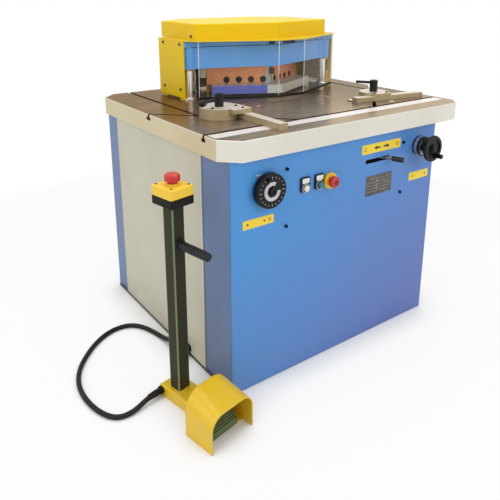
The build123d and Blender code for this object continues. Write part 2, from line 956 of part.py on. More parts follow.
with BuildPart() as cover_screws:
    for side in (-1, 1):
        with BuildSketch(side_plane(head_x + side * guard_half, side)):
            with Locations(*[(side * y, z) for y, z in guard_screws]):
                Circle(cover_head_r)
        extrude(amount=4)
        with BuildSketch(side_plane(head_x + side * guard_half, side)):
            with Locations(*[(side * y, z) for y, z in guard_screws]):
                Circle(cover_screw_r)
        extrude(amount=-sheet - foot_rail_t + 1)
        with BuildSketch(side_plane(head_x + side * cap_half, side)):
            with Locations((side * guard_screw_y[0], brim_z + 16)):
                Circle(cover_head_r)
        extrude(amount=4)
        with BuildSketch(side_plane(head_x + side * cap_half, side)):
            with Locations((side * guard_screw_y[0], brim_z + 16)):
                Circle(cover_screw_r)
        extrude(amount=-sheet - 5)
save(cover_screws, "cover_screws")

tank_top = rail_h + tank_h
with BuildPart() as oil_tank:
    with BuildSketch(Plane.XY.offset(rail_h)):
        with Locations((tank_x, tank_y)):
            RectangleRounded(tank_w, tank_d, 12)
    extrude(amount=tank_h - lid_t)
    with BuildSketch(Plane.XY.offset(rail_h + tank_wall)):
        with Locations((tank_x, tank_y)):
            RectangleRounded(tank_w - 2 * tank_wall, tank_d - 2 * tank_wall, 12 - tank_wall)
    extrude(amount=tank_h, mode=Mode.SUBTRACT)
save(oil_tank, "oil_tank")

with BuildPart() as tank_lid:
    with BuildSketch(Plane.XY.offset(tank_top - lid_t)):
        with Locations((tank_x, tank_y)):
            RectangleRounded(tank_w, tank_d, 12)
    extrude(amount=lid_t)
    with BuildSketch(Plane.XY.offset(tank_top)):
        with Locations((tank_x + tank_w / 2 - 50, tank_y - tank_d / 2 + 50)):
            Circle(28)
    extrude(amount=26)
save(tank_lid, "tank_lid")

motor_x = tank_x - 20
motor_z = tank_top + 14 + motor_r
with BuildPart() as pump_motor:
    with BuildSketch(Plane(origin=(motor_x - motor_l / 2, motor_y, motor_z), z_dir=(1, 0, 0))):
        Circle(motor_r)
    extrude(amount=motor_l)
    with Locations((motor_x, motor_y, tank_top + 7)):
        Box(motor_l * 0.7, motor_r * 1.7, 14)
    with Locations((motor_x, motor_y, tank_top + 14 + motor_r / 4)):
        Box(motor_l * 0.6, motor_r, motor_r / 2)
    with Locations((motor_x, motor_y, motor_z + motor_r)):
        Box(90, 80, 60)
save(pump_motor, "pump_motor")

with BuildPart() as gear_pump:
    with BuildSketch(Plane(origin=(motor_x + motor_l / 2, motor_y, motor_z), z_dir=(1, 0, 0))):
        Circle(motor_r * 0.75)
    extrude(amount=18)
    with Locations((motor_x + motor_l / 2 + 18 + (pump_l - 18) / 2, motor_y, motor_z)):
        Box(pump_l - 18, 90, 100)
save(gear_pump, "gear_pump")

valve_x = tank_x - tank_w / 2 + 30 + valve_w / 2
with BuildPart() as valve_block:
    with Locations((valve_x, rod_y, tank_top + valve_h / 2)):
        Box(valve_w, valve_w, valve_h)
    for z in (tank_top + 30, tank_top + 85):
        with BuildSketch(Plane(origin=(valve_x + valve_w / 2, rod_y, z), z_dir=(1, 0, 0))):
            Circle(hose_r + 6)
        extrude(amount=14)
    with Locations((valve_x, rod_y, tank_top + valve_h + 22)):
        Box(60, valve_w + 40, 44)
save(valve_block, "valve_block")

hose_x = valve_x + valve_w / 2 + 14
hose_routes = []
for valve_z, port_z, rise_x in (
    (tank_top + 30, port_zs[0], (hose_x + port_x) / 2 + 40),
    (tank_top + 85, port_zs[1], (hose_x + port_x) / 2 - 20),
):
    hose_routes.append(
        [
            (hose_x, rod_y, valve_z),
            (rise_x, rod_y, valve_z),
            (rise_x, rod_y, port_z),
            (port_x, rod_y, port_z),
        ]
    )
with BuildPart() as hydraulic_hoses:
    for points in hose_routes:
        with BuildLine() as run:
            FilletPolyline(*points, radius=60)
        with BuildSketch(Plane(origin=run.line @ 0, z_dir=run.line % 0)):
            Circle(hose_r)
        sweep(path=run.line)
save(hydraulic_hoses, "hydraulic_hoses")

with BuildPart() as electric_box:
    box_x = x_right - sheet - rail_w - box_w / 2
    with Locations((box_x, 70, side_rail_z + side_rail_h - box_h / 2)):
        Box(box_w, box_d, box_h)
    fillet(electric_box.edges().filter_by(Axis.Z), 4)
save(electric_box, "electric_box")

with BuildPart() as gap_dial:
    with BuildSketch(front_plane(dial_stand)):
        with Locations((dial_x, dial_z)):
            Circle(dial_r)
    extrude(amount=dial_t)
    fillet(gap_dial.faces().sort_by(Axis.Y)[0].edges(), 5)
    with BuildSketch(front_plane(dial_stand)):
        with Locations((dial_x, dial_z)):
            Circle(shaft_r + 12)
    extrude(amount=-dial_stand + lay_fit)
    with BuildSketch(front_plane(dial_stand)):
        with Locations((dial_x, dial_z)):
            Circle(shaft_r)
    extrude(amount=-dial_stand - bar_back - bar_d / 2 - 10)
    turn = radians(112)
    with BuildSketch(front_plane(dial_stand + dial_t)):
        with Locations((dial_x + (dial_r - 13) * cos(turn), dial_z + (dial_r - 13) * sin(turn))):
            Circle(6)
    extrude(amount=14)
save(gap_dial, "gap_dial")

with BuildPart() as angle_indicator:
    with BuildSketch(front_plane()):
        with Locations((wheel_x, wheel_z)):
            Circle(indicator_r)
            Circle(shaft_r + 1, mode=Mode.SUBTRACT)
    extrude(amount=indicator_t)
    fillet(
        angle_indicator.faces().sort_by(Axis.Y)[0].edges().filter_by(lambda e: e.radius > indicator_r - 1),
        3,
    )
save(angle_indicator, "angle_indicator")

crank_x = wheel_x + crank_r * cos(radians(crank_angle))
crank_z = wheel_z + crank_r * sin(radians(crank_angle))
pin_r = knob_r * 0.45
with BuildPart() as angle_handwheel:
    with BuildSketch(front_plane(wheel_stand)):
        with Locations((wheel_x, wheel_z)):
            Circle(wheel_r)
    extrude(amount=wheel_t)
    fillet(angle_handwheel.edges().filter_by(GeomType.CIRCLE), wheel_rim_r)
    with BuildSketch(front_plane(wheel_stand + wheel_t)):
        with Locations((wheel_x, wheel_z)):
            Circle(wheel_r - 14)
            Circle(shaft_r + 9, mode=Mode.SUBTRACT)
        with Locations((crank_x, crank_z)):
            Circle(knob_r + 3, mode=Mode.SUBTRACT)
    extrude(amount=-5, mode=Mode.SUBTRACT)
    with BuildSketch(front_plane(wheel_stand)):
        with Locations((wheel_x, wheel_z)):
            Circle(shaft_r + 10)
    extrude(amount=indicator_t + 1 - wheel_stand)
    with BuildSketch(front_plane(indicator_t)):
        with Locations((wheel_x, wheel_z)):
            Circle(shaft_r + run_fit)
    extrude(amount=wheel_stand - indicator_t + wheel_t - 8, mode=Mode.SUBTRACT)
    with BuildSketch(front_plane(wheel_stand + wheel_t)):
        with Locations((crank_x, crank_z)):
            Circle(pin_r)
    extrude(amount=knob_l)
save(angle_handwheel, "angle_handwheel")

with BuildPart() as handwheel_knob:
    with BuildSketch(front_plane(wheel_stand + wheel_t + 1)):
        with Locations((crank_x, crank_z)):
            Circle(knob_r)
    extrude(amount=knob_l + 3)
    fillet(handwheel_knob.edges().filter_by(GeomType.CIRCLE), 2.5)
    with BuildSketch(front_plane(wheel_stand + wheel_t)):
        with Locations((crank_x, crank_z)):
            Circle(pin_r + run_fit)
    extrude(amount=knob_l + slide_fit, mode=Mode.SUBTRACT)
save(handwheel_knob, "handwheel_knob")

with BuildPart() as angle_screw:
    with BuildSketch(front_plane(wheel_stand + wheel_t - 9)):
        with Locations((wheel_x, wheel_z)):
            Circle(shaft_r)
    extrude(amount=-(wheel_stand + wheel_t - 9 + bar_back + bar_d / 2 + 10))
    with BuildSketch(front_plane(-sheet - 18)):
        with Locations((wheel_x, wheel_z)):
            Circle(lead_r)
    extrude(amount=-(bar_back - bar_d / 2 - sheet - 20))
save(angle_screw, "angle_screw")

with BuildPart() as angle_nut:
    with BuildSketch(front_plane(-60)):
        with Locations((wheel_x, wheel_z - guide_drop / 2)):
            Rectangle(nut_w, guide_drop + nut_w)
        with Locations((wheel_x, wheel_z)):
            Circle(lead_r + run_fit, mode=Mode.SUBTRACT)
        with Locations((wheel_x, wheel_z - guide_drop)):
            Circle(guide_rod_r + run_fit, mode=Mode.SUBTRACT)
    extrude(amount=-nut_l)
save(angle_nut, "angle_nut")

lean = radians(lever_lean)
lever_y = y_front + lever_back
lever_l = (lever_back + lever_reach) / cos(lean)
with BuildPart() as lock_lever:
    with BuildLine() as run:
        Line(
            (lever_x + 12 * sin(lean), lever_y - 12 * cos(lean), lever_z),
            (lever_x + lever_l * sin(lean), lever_y - lever_l * cos(lean), lever_z),
        )
    with BuildSketch(Plane(origin=run.line @ 0, z_dir=run.line % 0)):
        Circle(lever_r)
    sweep(path=run.line)
    with BuildSketch(Plane(origin=run.line @ 1, z_dir=run.line % 1)):
        Circle(lever_grip_r)
    extrude(amount=-lever_grip_l)
    fillet(lock_lever.edges().filter_by(GeomType.CIRCLE).filter_by(lambda e: e.radius > lever_r + 1), 3)
    with BuildSketch(Plane.XY.offset(lever_z - 18 + slide_fit)):
        with Locations((lever_x, lever_y)):
            Circle(2 * stud_r)
            Circle(stud_r + run_fit, mode=Mode.SUBTRACT)
    extrude(amount=30)
save(lock_lever, "lock_lever")

buttons = [(start_x, button_z), (lamp_x, button_z)]
bezel = button_r + 3
with BuildPart() as legend_holders:
    with BuildSketch(front_plane()):
        with Locations((start_x, holder_z), (lamp_x, holder_z)):
            RectangleRounded(holder_w, holder_h, 3)
        with Locations(*buttons):
            Circle(button_r + lay_fit, mode=Mode.SUBTRACT)
    extrude(amount=holder_t)
    with BuildSketch(front_plane(holder_t)):
        with Locations(*buttons):
            Circle(bezel)
            Circle(button_r + lay_fit, mode=Mode.SUBTRACT)
    extrude(amount=3)
save(legend_holders, "legend_holders")


def push_button(x, proud, edge):
    """Button head and stem, running through the holder and the panel."""
    with BuildPart() as button:
        with BuildSketch(front_plane(holder_t + proud)):
            with Locations((x, button_z)):
                Circle(button_r)
        extrude(amount=-(holder_t + proud + sheet + 16))
        fillet(button.faces().sort_by(Axis.Y)[0].edges(), edge)
    return button


start_button = push_button(start_x, 8, 1.5)
save(start_button, "start_button")
lamp_button = push_button(lamp_x, 14, 5)
save(lamp_button, "lamp_button")

with BuildPart() as estop_collar:
    with BuildSketch(front_plane()):
        with Locations((estop_x, estop_z)):
            Circle(collar_r)
            Circle(button_r + lay_fit, mode=Mode.SUBTRACT)
    extrude(amount=collar_t)
save(estop_collar, "estop_collar")

with BuildPart() as panel_estop:
    with BuildSketch(front_plane(collar_t + 10)):
        with Locations((estop_x, estop_z)):
            Circle(mushroom_r)
    extrude(amount=17)
    fillet(panel_estop.faces().sort_by(Axis.Y)[0].edges(), 7)
    with BuildSketch(front_plane(collar_t + 10)):
        with Locations((estop_x, estop_z)):
            Circle(button_r)
    extrude(amount=-(collar_t + 10 + sheet + 14))
save(panel_estop, "panel_estop")


def table_nut(x, y, turn):
    """Tongue and head of a slide that runs in a table slot."""
    tongue_h = slot_depth + slide_fit + 2
    head_h = slot_head_h - 2 * lay_fit
    with Locations((x, y, table_top + slide_fit - tongue_h / 2)):
        Box(34, slot_w - 2 * lay_fit, tongue_h, rotation=(0, 0, turn))
    with Locations((x, y, table_top - slot_depth - lay_fit - head_h / 2)):
        Box(34, slot_head_w - 2 * lay_fit, head_h, rotation=(0, 0, turn))


disc_z = table_top + slide_fit
plate_z = disc_z + fence_disc_h + slide_fit
with BuildPart() as left_fence_base:
    with BuildSketch(Plane.XY.offset(disc_z)):
        with Locations((fence_x, fence_y)):
            Circle(fence_disc_r)
    extrude(amount=fence_disc_h)
    with BuildSketch(Plane.XY.offset(disc_z)):
        with Locations((fence_x, fence_y)):
            Circle(stud_r)
    extrude(amount=fence_disc_h + fence_plate_t + 36)
    table_nut(fence_x, fence_y, -45)
save(left_fence_base, "left_fence_base")

bar_x = fence_x + fence_bar_left + fence_bar_w / 2
with BuildPart() as left_fence_arm:
    with BuildSketch(Plane.XY.offset(plate_z)):
        with Locations((fence_x, fence_y)):
            Circle(fence_disc_r)
        with Locations((fence_x + (fence_bar_left + fence_bar_w) / 2, fence_y - 46)):
            Rectangle(fence_bar_left + fence_bar_w, 92)
        with Locations((fence_x, fence_y)):
            Circle(stud_r + run_fit, mode=Mode.SUBTRACT)
    extrude(amount=fence_plate_t)
    with BuildSketch(Plane.XY.offset(disc_z)):
        with Locations((bar_x, fence_y - (fence_bar_end + 40) / 2)):
            Rectangle(fence_bar_w, fence_bar_end - 40)
        with Locations((fence_x, fence_y)):
            Circle(fence_disc_r + lay_fit, mode=Mode.SUBTRACT)
    extrude(amount=fence_disc_h + slide_fit)
save(left_fence_arm, "left_fence_arm")


def clamp_lever(x, y, z, height, aim, rise, ball):
    """Clamp lever: hub on its stud, round arm and ball."""
    with BuildPart() as lever:
        with BuildSketch(Plane.XY.offset(z)):
            with Locations((x, y)):
                Circle(hub_r)
                Circle(stud_r + run_fit, mode=Mode.SUBTRACT)
        extrude(amount=height)
        reach = Vector(*aim)
        start = Vector(x, y, z + rise) + reach.normalized() * (stud_r + 4)
        with BuildSketch(Plane(origin=start, z_dir=reach)):
            Circle(5.5)
        extrude(amount=reach.length - stud_r - 4)
        with Locations(Vector(x, y, z + rise) + reach):
            Sphere(ball, rotation=(0, 0, 180))
    return lever


lever_seat = plate_z + fence_plate_t + slide_fit
left_clamp_lever = clamp_lever(fence_x, fence_y, lever_seat, 44, (-85, -26, -6), 28, 13)
save(left_clamp_lever, "left_clamp_lever")

right_fence = Plane(
    origin=(right_hub_x, right_hub_y, 0),
    x_dir=(cos(radians(right_bar_tilt)), sin(radians(right_bar_tilt)), 0),
    z_dir=(0, 0, 1),
)
right_plate_z = disc_z + right_bar_h + slide_fit
with BuildPart() as right_fence_base:
    with BuildSketch(right_fence.offset(disc_z)):
        Circle(right_disc_r)
    extrude(amount=right_bar_h)
    with BuildSketch(right_fence.offset(disc_z)):
        Circle(stud_r)
    extrude(amount=right_bar_h + right_plate_t + 36)
    table_nut(right_hub_x, right_hub_y, 45)
save(right_fence_base, "right_fence_base")

with BuildPart() as right_fence_arm:
    with BuildSketch(right_fence.offset(right_plate_z)):
        Circle(right_disc_r)
        with Locations((0, -right_bar_front / 2)):
            Rectangle(right_plate_w, right_bar_front)
        Circle(stud_r + run_fit, mode=Mode.SUBTRACT)
    extrude(amount=right_plate_t)
    with BuildSketch(right_fence.offset(disc_z)):
        with Locations(((right_bar_right - right_bar_left) / 2, fence_bar_w / 2 - right_bar_front)):
            Rectangle(right_bar_left + right_bar_right, fence_bar_w)
        Circle(right_disc_r + lay_fit, mode=Mode.SUBTRACT)
    extrude(amount=right_bar_h + slide_fit)
    with BuildSketch(right_fence.offset(disc_z)):
        with Locations((flag_l / 2 - right_bar_left, fence_bar_w - right_bar_front + flag_w / 2)):
            Rectangle(flag_l, flag_w)
    extrude(amount=flag_t)
save(right_fence_arm, "right_fence_arm")

right_seat = right_plate_z + right_plate_t + slide_fit
right_clamp_lever = clamp_lever(right_hub_x, right_hub_y, right_seat, 46, (-58, 38, 4), 36, 6)
save(right_clamp_lever, "right_clamp_lever")

neck_left = neck_x - neck_w / 2
cheek_x = treadle_w / 2 + 1 + cheek_t / 2
with BuildPart() as pedal_base:
    with BuildSketch(pedal):
        with Locations((neck_x, (hood_d - hood_wall - 2 + neck_end) / 2)):
            Rectangle(neck_w, neck_end - hood_d + hood_wall + 2)
    extrude(amount=neck_h)
    fillet(pedal_base.edges().filter_by(Axis.Z).group_by(Axis.Y)[-1], 14)
    fillet(pedal_base.faces().sort_by(Axis.Z)[-1].edges(), 7)
    with BuildSketch(pedal):
        with Locations((0, (foot_plate_in + hood_d - hood_wall - lay_fit) / 2)):
            Rectangle(hood_w - 2 * hood_wall - 2 * lay_fit, hood_d - hood_wall - lay_fit - foot_plate_in)
    extrude(amount=foot_plate_t)
    with BuildSketch(pedal):
        with Locations((treadle_x - cheek_x, hinge_y), (treadle_x + cheek_x, hinge_y)):
            Rectangle(cheek_t, 18)
    extrude(amount=hinge_z + 9)
    hinge_plane = Plane(origin=pedal_point(-hood_w / 2, 0), x_dir=pedal.y_dir, z_dir=pedal.x_dir)
    with BuildSketch(hinge_plane):
        with Locations((hinge_y, hinge_z)):
            Circle(hinge_r + run_fit)
    extrude(amount=hood_w, mode=Mode.SUBTRACT)
    gland_plane = Plane(origin=pedal_point(neck_left, gland_y, gland_z), z_dir=pedal.x_dir * -1)
    with BuildSketch(gland_plane):
        Circle(8)
    extrude(amount=-20, mode=Mode.SUBTRACT)
save(pedal_base, "pedal_base")


def arch(width, height, corner, drop=0):
    """Arch section of the foot hood."""
    with BuildSketch(mode=Mode.PRIVATE) as shape:
        with Locations((0, -drop)):
            Rectangle(width, height + drop, align=(Align.CENTER, Align.MIN))
        fillet(shape.vertices().group_by(Axis.Y)[-1], corner)
    add(shape.sketch)


with BuildPart() as pedal_hood:
    with BuildSketch(pedal_section(0)):
        arch(hood_w, hood_front_h, hood_front_r)
    with BuildSketch(pedal_section(hood_d)):
        arch(hood_w, hood_back_h, hood_back_r)
    loft()
    rise = (hood_back_h - hood_front_h) / hood_d
    inner_w_hood = hood_w - 2 * hood_wall
    with BuildSketch(pedal_section(-1)):
        arch(inner_w_hood, hood_front_h - hood_wall - rise, hood_front_r - hood_wall, 1)
    with BuildSketch(pedal_section(hood_d - hood_wall)):
        arch(inner_w_hood, hood_back_h - hood_wall * (1 + rise), hood_back_r - hood_wall, 1)
    loft(mode=Mode.SUBTRACT)
    with BuildSketch(pedal.offset(-1)):
        with Locations((neck_x, hood_d)):
            Rectangle(neck_w + 2 * lay_fit, 4 * hood_wall)
    extrude(amount=neck_h + 1 + lay_fit, mode=Mode.SUBTRACT)
save(pedal_hood, "pedal_hood")

ribs = 9
tread = [(treadle_front, treadle_low), (treadle_back, treadle_low + 3), (treadle_back, treadle_high)]
slope_run = treadle_back - 14 - treadle_front
for rib in range(ribs, -1, -1):
    along = treadle_front + slope_run * rib / ribs
    height = treadle_lip + (treadle_high - treadle_lip) * rib / ribs
    tread.append((along, height))
    if rib:
        tread.append((along - slope_run * 0.3 / ribs, height - 3))
with BuildPart() as treadle:
    tread_plane = Plane(
        origin=pedal_point(treadle_x - treadle_w / 2, 0), x_dir=pedal.y_dir, z_dir=pedal.x_dir
    )
    with BuildSketch(tread_plane):
        polygon(tread)
        with Locations((hinge_y, hinge_z)):
            Circle(hinge_r + run_fit, mode=Mode.SUBTRACT)
    extrude(amount=treadle_w)
save(treadle, "treadle")

with BuildPart() as treadle_pin:
    pin_plane = Plane(
        origin=pedal_point(treadle_x - cheek_x - cheek_t / 2, 0), x_dir=pedal.y_dir, z_dir=pedal.x_dir
    )
    with BuildSketch(pin_plane):
        with Locations((hinge_y, hinge_z)):
            Circle(hinge_r)
    extrude(amount=2 * cheek_x + cheek_t)
save(treadle_pin, "treadle_pin")

with BuildPart() as pedal_post:
    with BuildSketch(pedal.offset(neck_h)):
        with Locations((neck_x, post_y)):
            RectangleRounded(post_w, post_w, 5)
            RectangleRounded(post_w - 2 * post_wall, post_w - 2 * post_wall, 2, mode=Mode.SUBTRACT)
    extrude(amount=post_top - neck_h)
save(pedal_post, "pedal_post")

with BuildPart() as pedal_handle:
    grip_origin = pedal_point(neck_x, post_y - post_w / 2, handle_z)
    with BuildSketch(Plane(origin=grip_origin, z_dir=pedal.y_dir * -1)):
        Circle(handle_r)
    extrude(amount=handle_l)
    fillet(pedal_handle.faces().sort_by(Axis.Y)[0].edges(), 6)
    with BuildSketch(Plane(origin=grip_origin, z_dir=pedal.y_dir * -1)):
        Circle(handle_r + 6)
    extrude(amount=6)
save(pedal_handle, "pedal_handle")

with BuildPart() as switch_box:
    with BuildSketch(pedal.offset(post_top)):
        with Locations((neck_x, post_y)):
            RectangleRounded(box_base_w, box_base_d, 7)
    extrude(amount=box_base_h)
save(switch_box, "switch_box")

cover_z = post_top + box_base_h
cover_top = cover_z + box_cover_h
with BuildPart() as switch_box_cover:
    with BuildSketch(pedal.offset(cover_z)):
        with Locations((neck_x, post_y)):
            RectangleRounded(box_base_w, box_base_d, 7)
    extrude(amount=box_cover_h)
    fillet(switch_box_cover.faces().sort_by(Axis.Z)[-1].edges(), 6)
    with BuildSketch(pedal.offset(cover_top)):
        with Locations((neck_x, post_y)):
            Circle(14 + lay_fit)
    extrude(amount=-30, mode=Mode.SUBTRACT)
save(switch_box_cover, "switch_box_cover")

with BuildPart() as post_estop:
    with BuildSketch(pedal.offset(cover_top + 13)):
        with Locations((neck_x, post_y)):
            Circle(post_mushroom_r)
    extrude(amount=21)
    fillet(post_estop.faces().sort_by(Axis.Z)[-1].edges(), 8)
    with BuildSketch(pedal.offset(cover_top + 13)):
        with Locations((neck_x, post_y)):
            Circle(14)
    extrude(amount=-13 - 22)
save(post_estop, "post_estop")

gland_l = 26
with BuildPart() as cable_gland:
    with BuildSketch(gland_plane):
        RegularPolygon(15, 6)
    extrude(amount=10)
    with BuildSketch(gland_plane):
        Circle(cable_r + 3)
    extrude(amount=gland_l)
    with BuildSketch(gland_plane):
        Circle(8 - lay_fit)
    extrude(amount=-14)
save(cable_gland, "cable_gland")

elbow_x = x_left + sheet - panel_t - 33
elbow_mouth = elbow_y + 37
with BuildPart() as cable_elbow:
    with BuildSketch(side_plane(x_left + sheet - panel_t, -1)):
        with Locations((-elbow_y, elbow_z)):
            RegularPolygon(18, 6)
    extrude(amount=9)
    with BuildSketch(side_plane(x_left + sheet - panel_t, -1)):
        with Locations((-elbow_y, elbow_z)):
            Circle(13)
    extrude(amount=33)
    with Locations((elbow_x, elbow_y, elbow_z)):
        Sphere(13)
    with BuildSketch(Plane(origin=(elbow_x, elbow_y, elbow_z), z_dir=(0, 1, 0))):
        Circle(13)
    extrude(amount=elbow_mouth - elbow_y)
    with BuildSketch(side_plane(x_left + sheet - panel_t, -1)):
        with Locations((-elbow_y, elbow_z)):
            Circle(8 - lay_fit)
    extrude(amount=-panel_t + lay_fit)
save(cable_elbow, "cable_elbow")

cable_start = pedal_point(neck_left - gland_l, gland_y, gland_z)
cable_out = pedal_point(neck_left - gland_l - 34, gland_y, gland_z)
cable_loop = [
    (297, 118.5, cable_z + 2),
    (337, 115, cable_z),
    (367, 126.5, cable_z),
    (390, 159.5, cable_z),
    (407, 212.5, cable_z),
    (415, 279.5, cable_z),
    (408, 352.5, cable_z),
    (383, 418.5, cable_z),
    (344, 474.5, cable_z),
    (288, 533.5, cable_z),
    (225, 578.5, cable_z),
    (164, 597.5, cable_z),
    (108, 586.5, cable_z),
    (73, 546.5, cable_z),
    (51, 481.5, cable_z),
    (40, 422.5, cable_z + 1),
]
cable_route = (
    [(cable_start.X, cable_start.Y, gland_z), (cable_out.X, cable_out.Y, gland_z)]
    + [(x_left - out, y_front + behind, height) for out, behind, height in cable_loop]
    + [(elbow_x, elbow_mouth + 46, elbow_z), (elbow_x, elbow_mouth, elbow_z)]
)
with BuildPart() as pedal_cable:
    with BuildLine() as run:
        FilletPolyline(*cable_route, radius=tangent_radii(cable_route))
    with BuildSketch(Plane(origin=run.line @ 0, z_dir=run.line % 0)):
        Circle(cable_r)
    sweep(path=run.line)
save(pedal_cable, "pedal_cable")

cable_l = sum(edge.length for edge in run.edges())
print("cable length", round(cable_l), "volume by section", round(pedal_cable.part.volume / (pi * cable_r**2)))
print("cable radii", [round(r) for r in tangent_radii(cable_route)])
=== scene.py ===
import logging
import math
from dataclasses import dataclass, field, replace
from enum import Enum
from typing import Callable, ClassVar, Iterable, Sequence

import bmesh
import bpy
from mathutils import Matrix, Vector


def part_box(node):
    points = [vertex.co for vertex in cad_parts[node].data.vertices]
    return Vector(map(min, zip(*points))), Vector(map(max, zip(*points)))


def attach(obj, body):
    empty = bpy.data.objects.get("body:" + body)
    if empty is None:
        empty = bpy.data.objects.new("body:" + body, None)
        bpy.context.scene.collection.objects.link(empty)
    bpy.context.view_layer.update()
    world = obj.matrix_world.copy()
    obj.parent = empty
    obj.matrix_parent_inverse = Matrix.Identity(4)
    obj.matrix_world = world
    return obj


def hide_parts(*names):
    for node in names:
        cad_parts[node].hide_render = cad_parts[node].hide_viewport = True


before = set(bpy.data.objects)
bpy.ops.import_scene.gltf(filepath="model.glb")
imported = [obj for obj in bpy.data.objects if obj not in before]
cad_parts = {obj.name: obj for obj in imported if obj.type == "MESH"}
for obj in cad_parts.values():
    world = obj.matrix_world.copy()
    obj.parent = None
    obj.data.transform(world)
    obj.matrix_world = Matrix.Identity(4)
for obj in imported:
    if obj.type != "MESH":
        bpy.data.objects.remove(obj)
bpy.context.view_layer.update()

SMOOTH_TO = math.radians(35)
WELD = 1e-6
FULL_TURN = 360.0
WHITE_LIGHT = (1.0, 1.0, 1.0, 1.0)
log = logging.getLogger("notcher")

Point = tuple[float, float, float]
Flat = tuple[float, float]
Extent = tuple[float, float, float, float]
Profile = tuple[Flat, ...]
Display = tuple[int, int, int]
Tone = tuple[float, float, float, float]
Face = bpy.types.MeshPolygon
Outputs = bpy.types.NodeOutputs
Socket = bpy.types.NodeSocket
BMesh = bmesh.types.BMesh


def tone(display: Display) -> Tone:
    """Linear colour, with full alpha, of a display colour from 0 to 255."""
    shares = (value / 255 for value in display)
    return (*(s / 12.92 if s <= 0.04045 else ((s + 0.055) / 1.055) ** 2.4 for s in shares), 1.0)


class Body(str, Enum):
    """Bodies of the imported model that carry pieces."""

    MACHINE = "machine"
    RAM = "ram_unit"
    UPPER_LEFT = "upper_left"
    UPPER_RIGHT = "upper_right"
    LOWER_LEFT = "lower_left"
    LOWER_RIGHT = "lower_right"
    GAP = "gap_control"
    ANGLE = "angle_control"
    STOP = "panel_stop"
    LEFT_ARM = "left_arm"
    RIGHT_ARM = "right_arm"


class Facing(Enum):
    """Ways that a flat piece can face, as its own x, y and outward axes."""

    UP = ((1, 0, 0), (0, 1, 0), (0, 0, 1))
    FRONT = ((1, 0, 0), (0, 0, 1), (0, -1, 0))
    BACK = ((-1, 0, 0), (0, 0, 1), (0, 1, 0))
    LEFT = ((0, -1, 0), (0, 0, 1), (-1, 0, 0))
    RIGHT = ((0, 1, 0), (0, 0, 1), (1, 0, 0))

    def at(self, spot: Point, turn: float = 0.0) -> Matrix:
        """Local frame at a spot on a surface, turned on it by some degrees."""
        axes = Matrix(self.value).transposed().to_4x4()
        return Matrix.Translation(spot) @ axes @ Matrix.Rotation(math.radians(turn), 4, "Z")


def aimed(spot: Point, axis: Point, forward: str = "Z") -> Matrix:
    """Local frame at a spot, with its forward axis along a direction."""
    turned = Vector(axis).to_track_quat(forward, "Y").to_matrix().to_4x4()
    return Matrix.Translation(spot) @ turned


def swung(spot: Flat, degrees: float) -> Flat:
    """Turn a plan point to the left about the plan's origin.

    Args:
        spot: Plan point.
        degrees: Turn.

    Returns:
        The turned point.
    """
    x, y = spot
    cos, sin = math.cos(math.radians(degrees)), math.sin(math.radians(degrees))
    return (x * cos - y * sin, x * sin + y * cos)


def placed(name: str, data: bpy.types.ID) -> bpy.types.Object:
    """Put a new object in the scene.

    Args:
        name: Name of the object.
        data: Its mesh, curve, lamp or camera.

    Returns:
        The new object.
    """
    made = bpy.data.objects.new(name, data)
    bpy.context.scene.collection.objects.link(made)
    return made


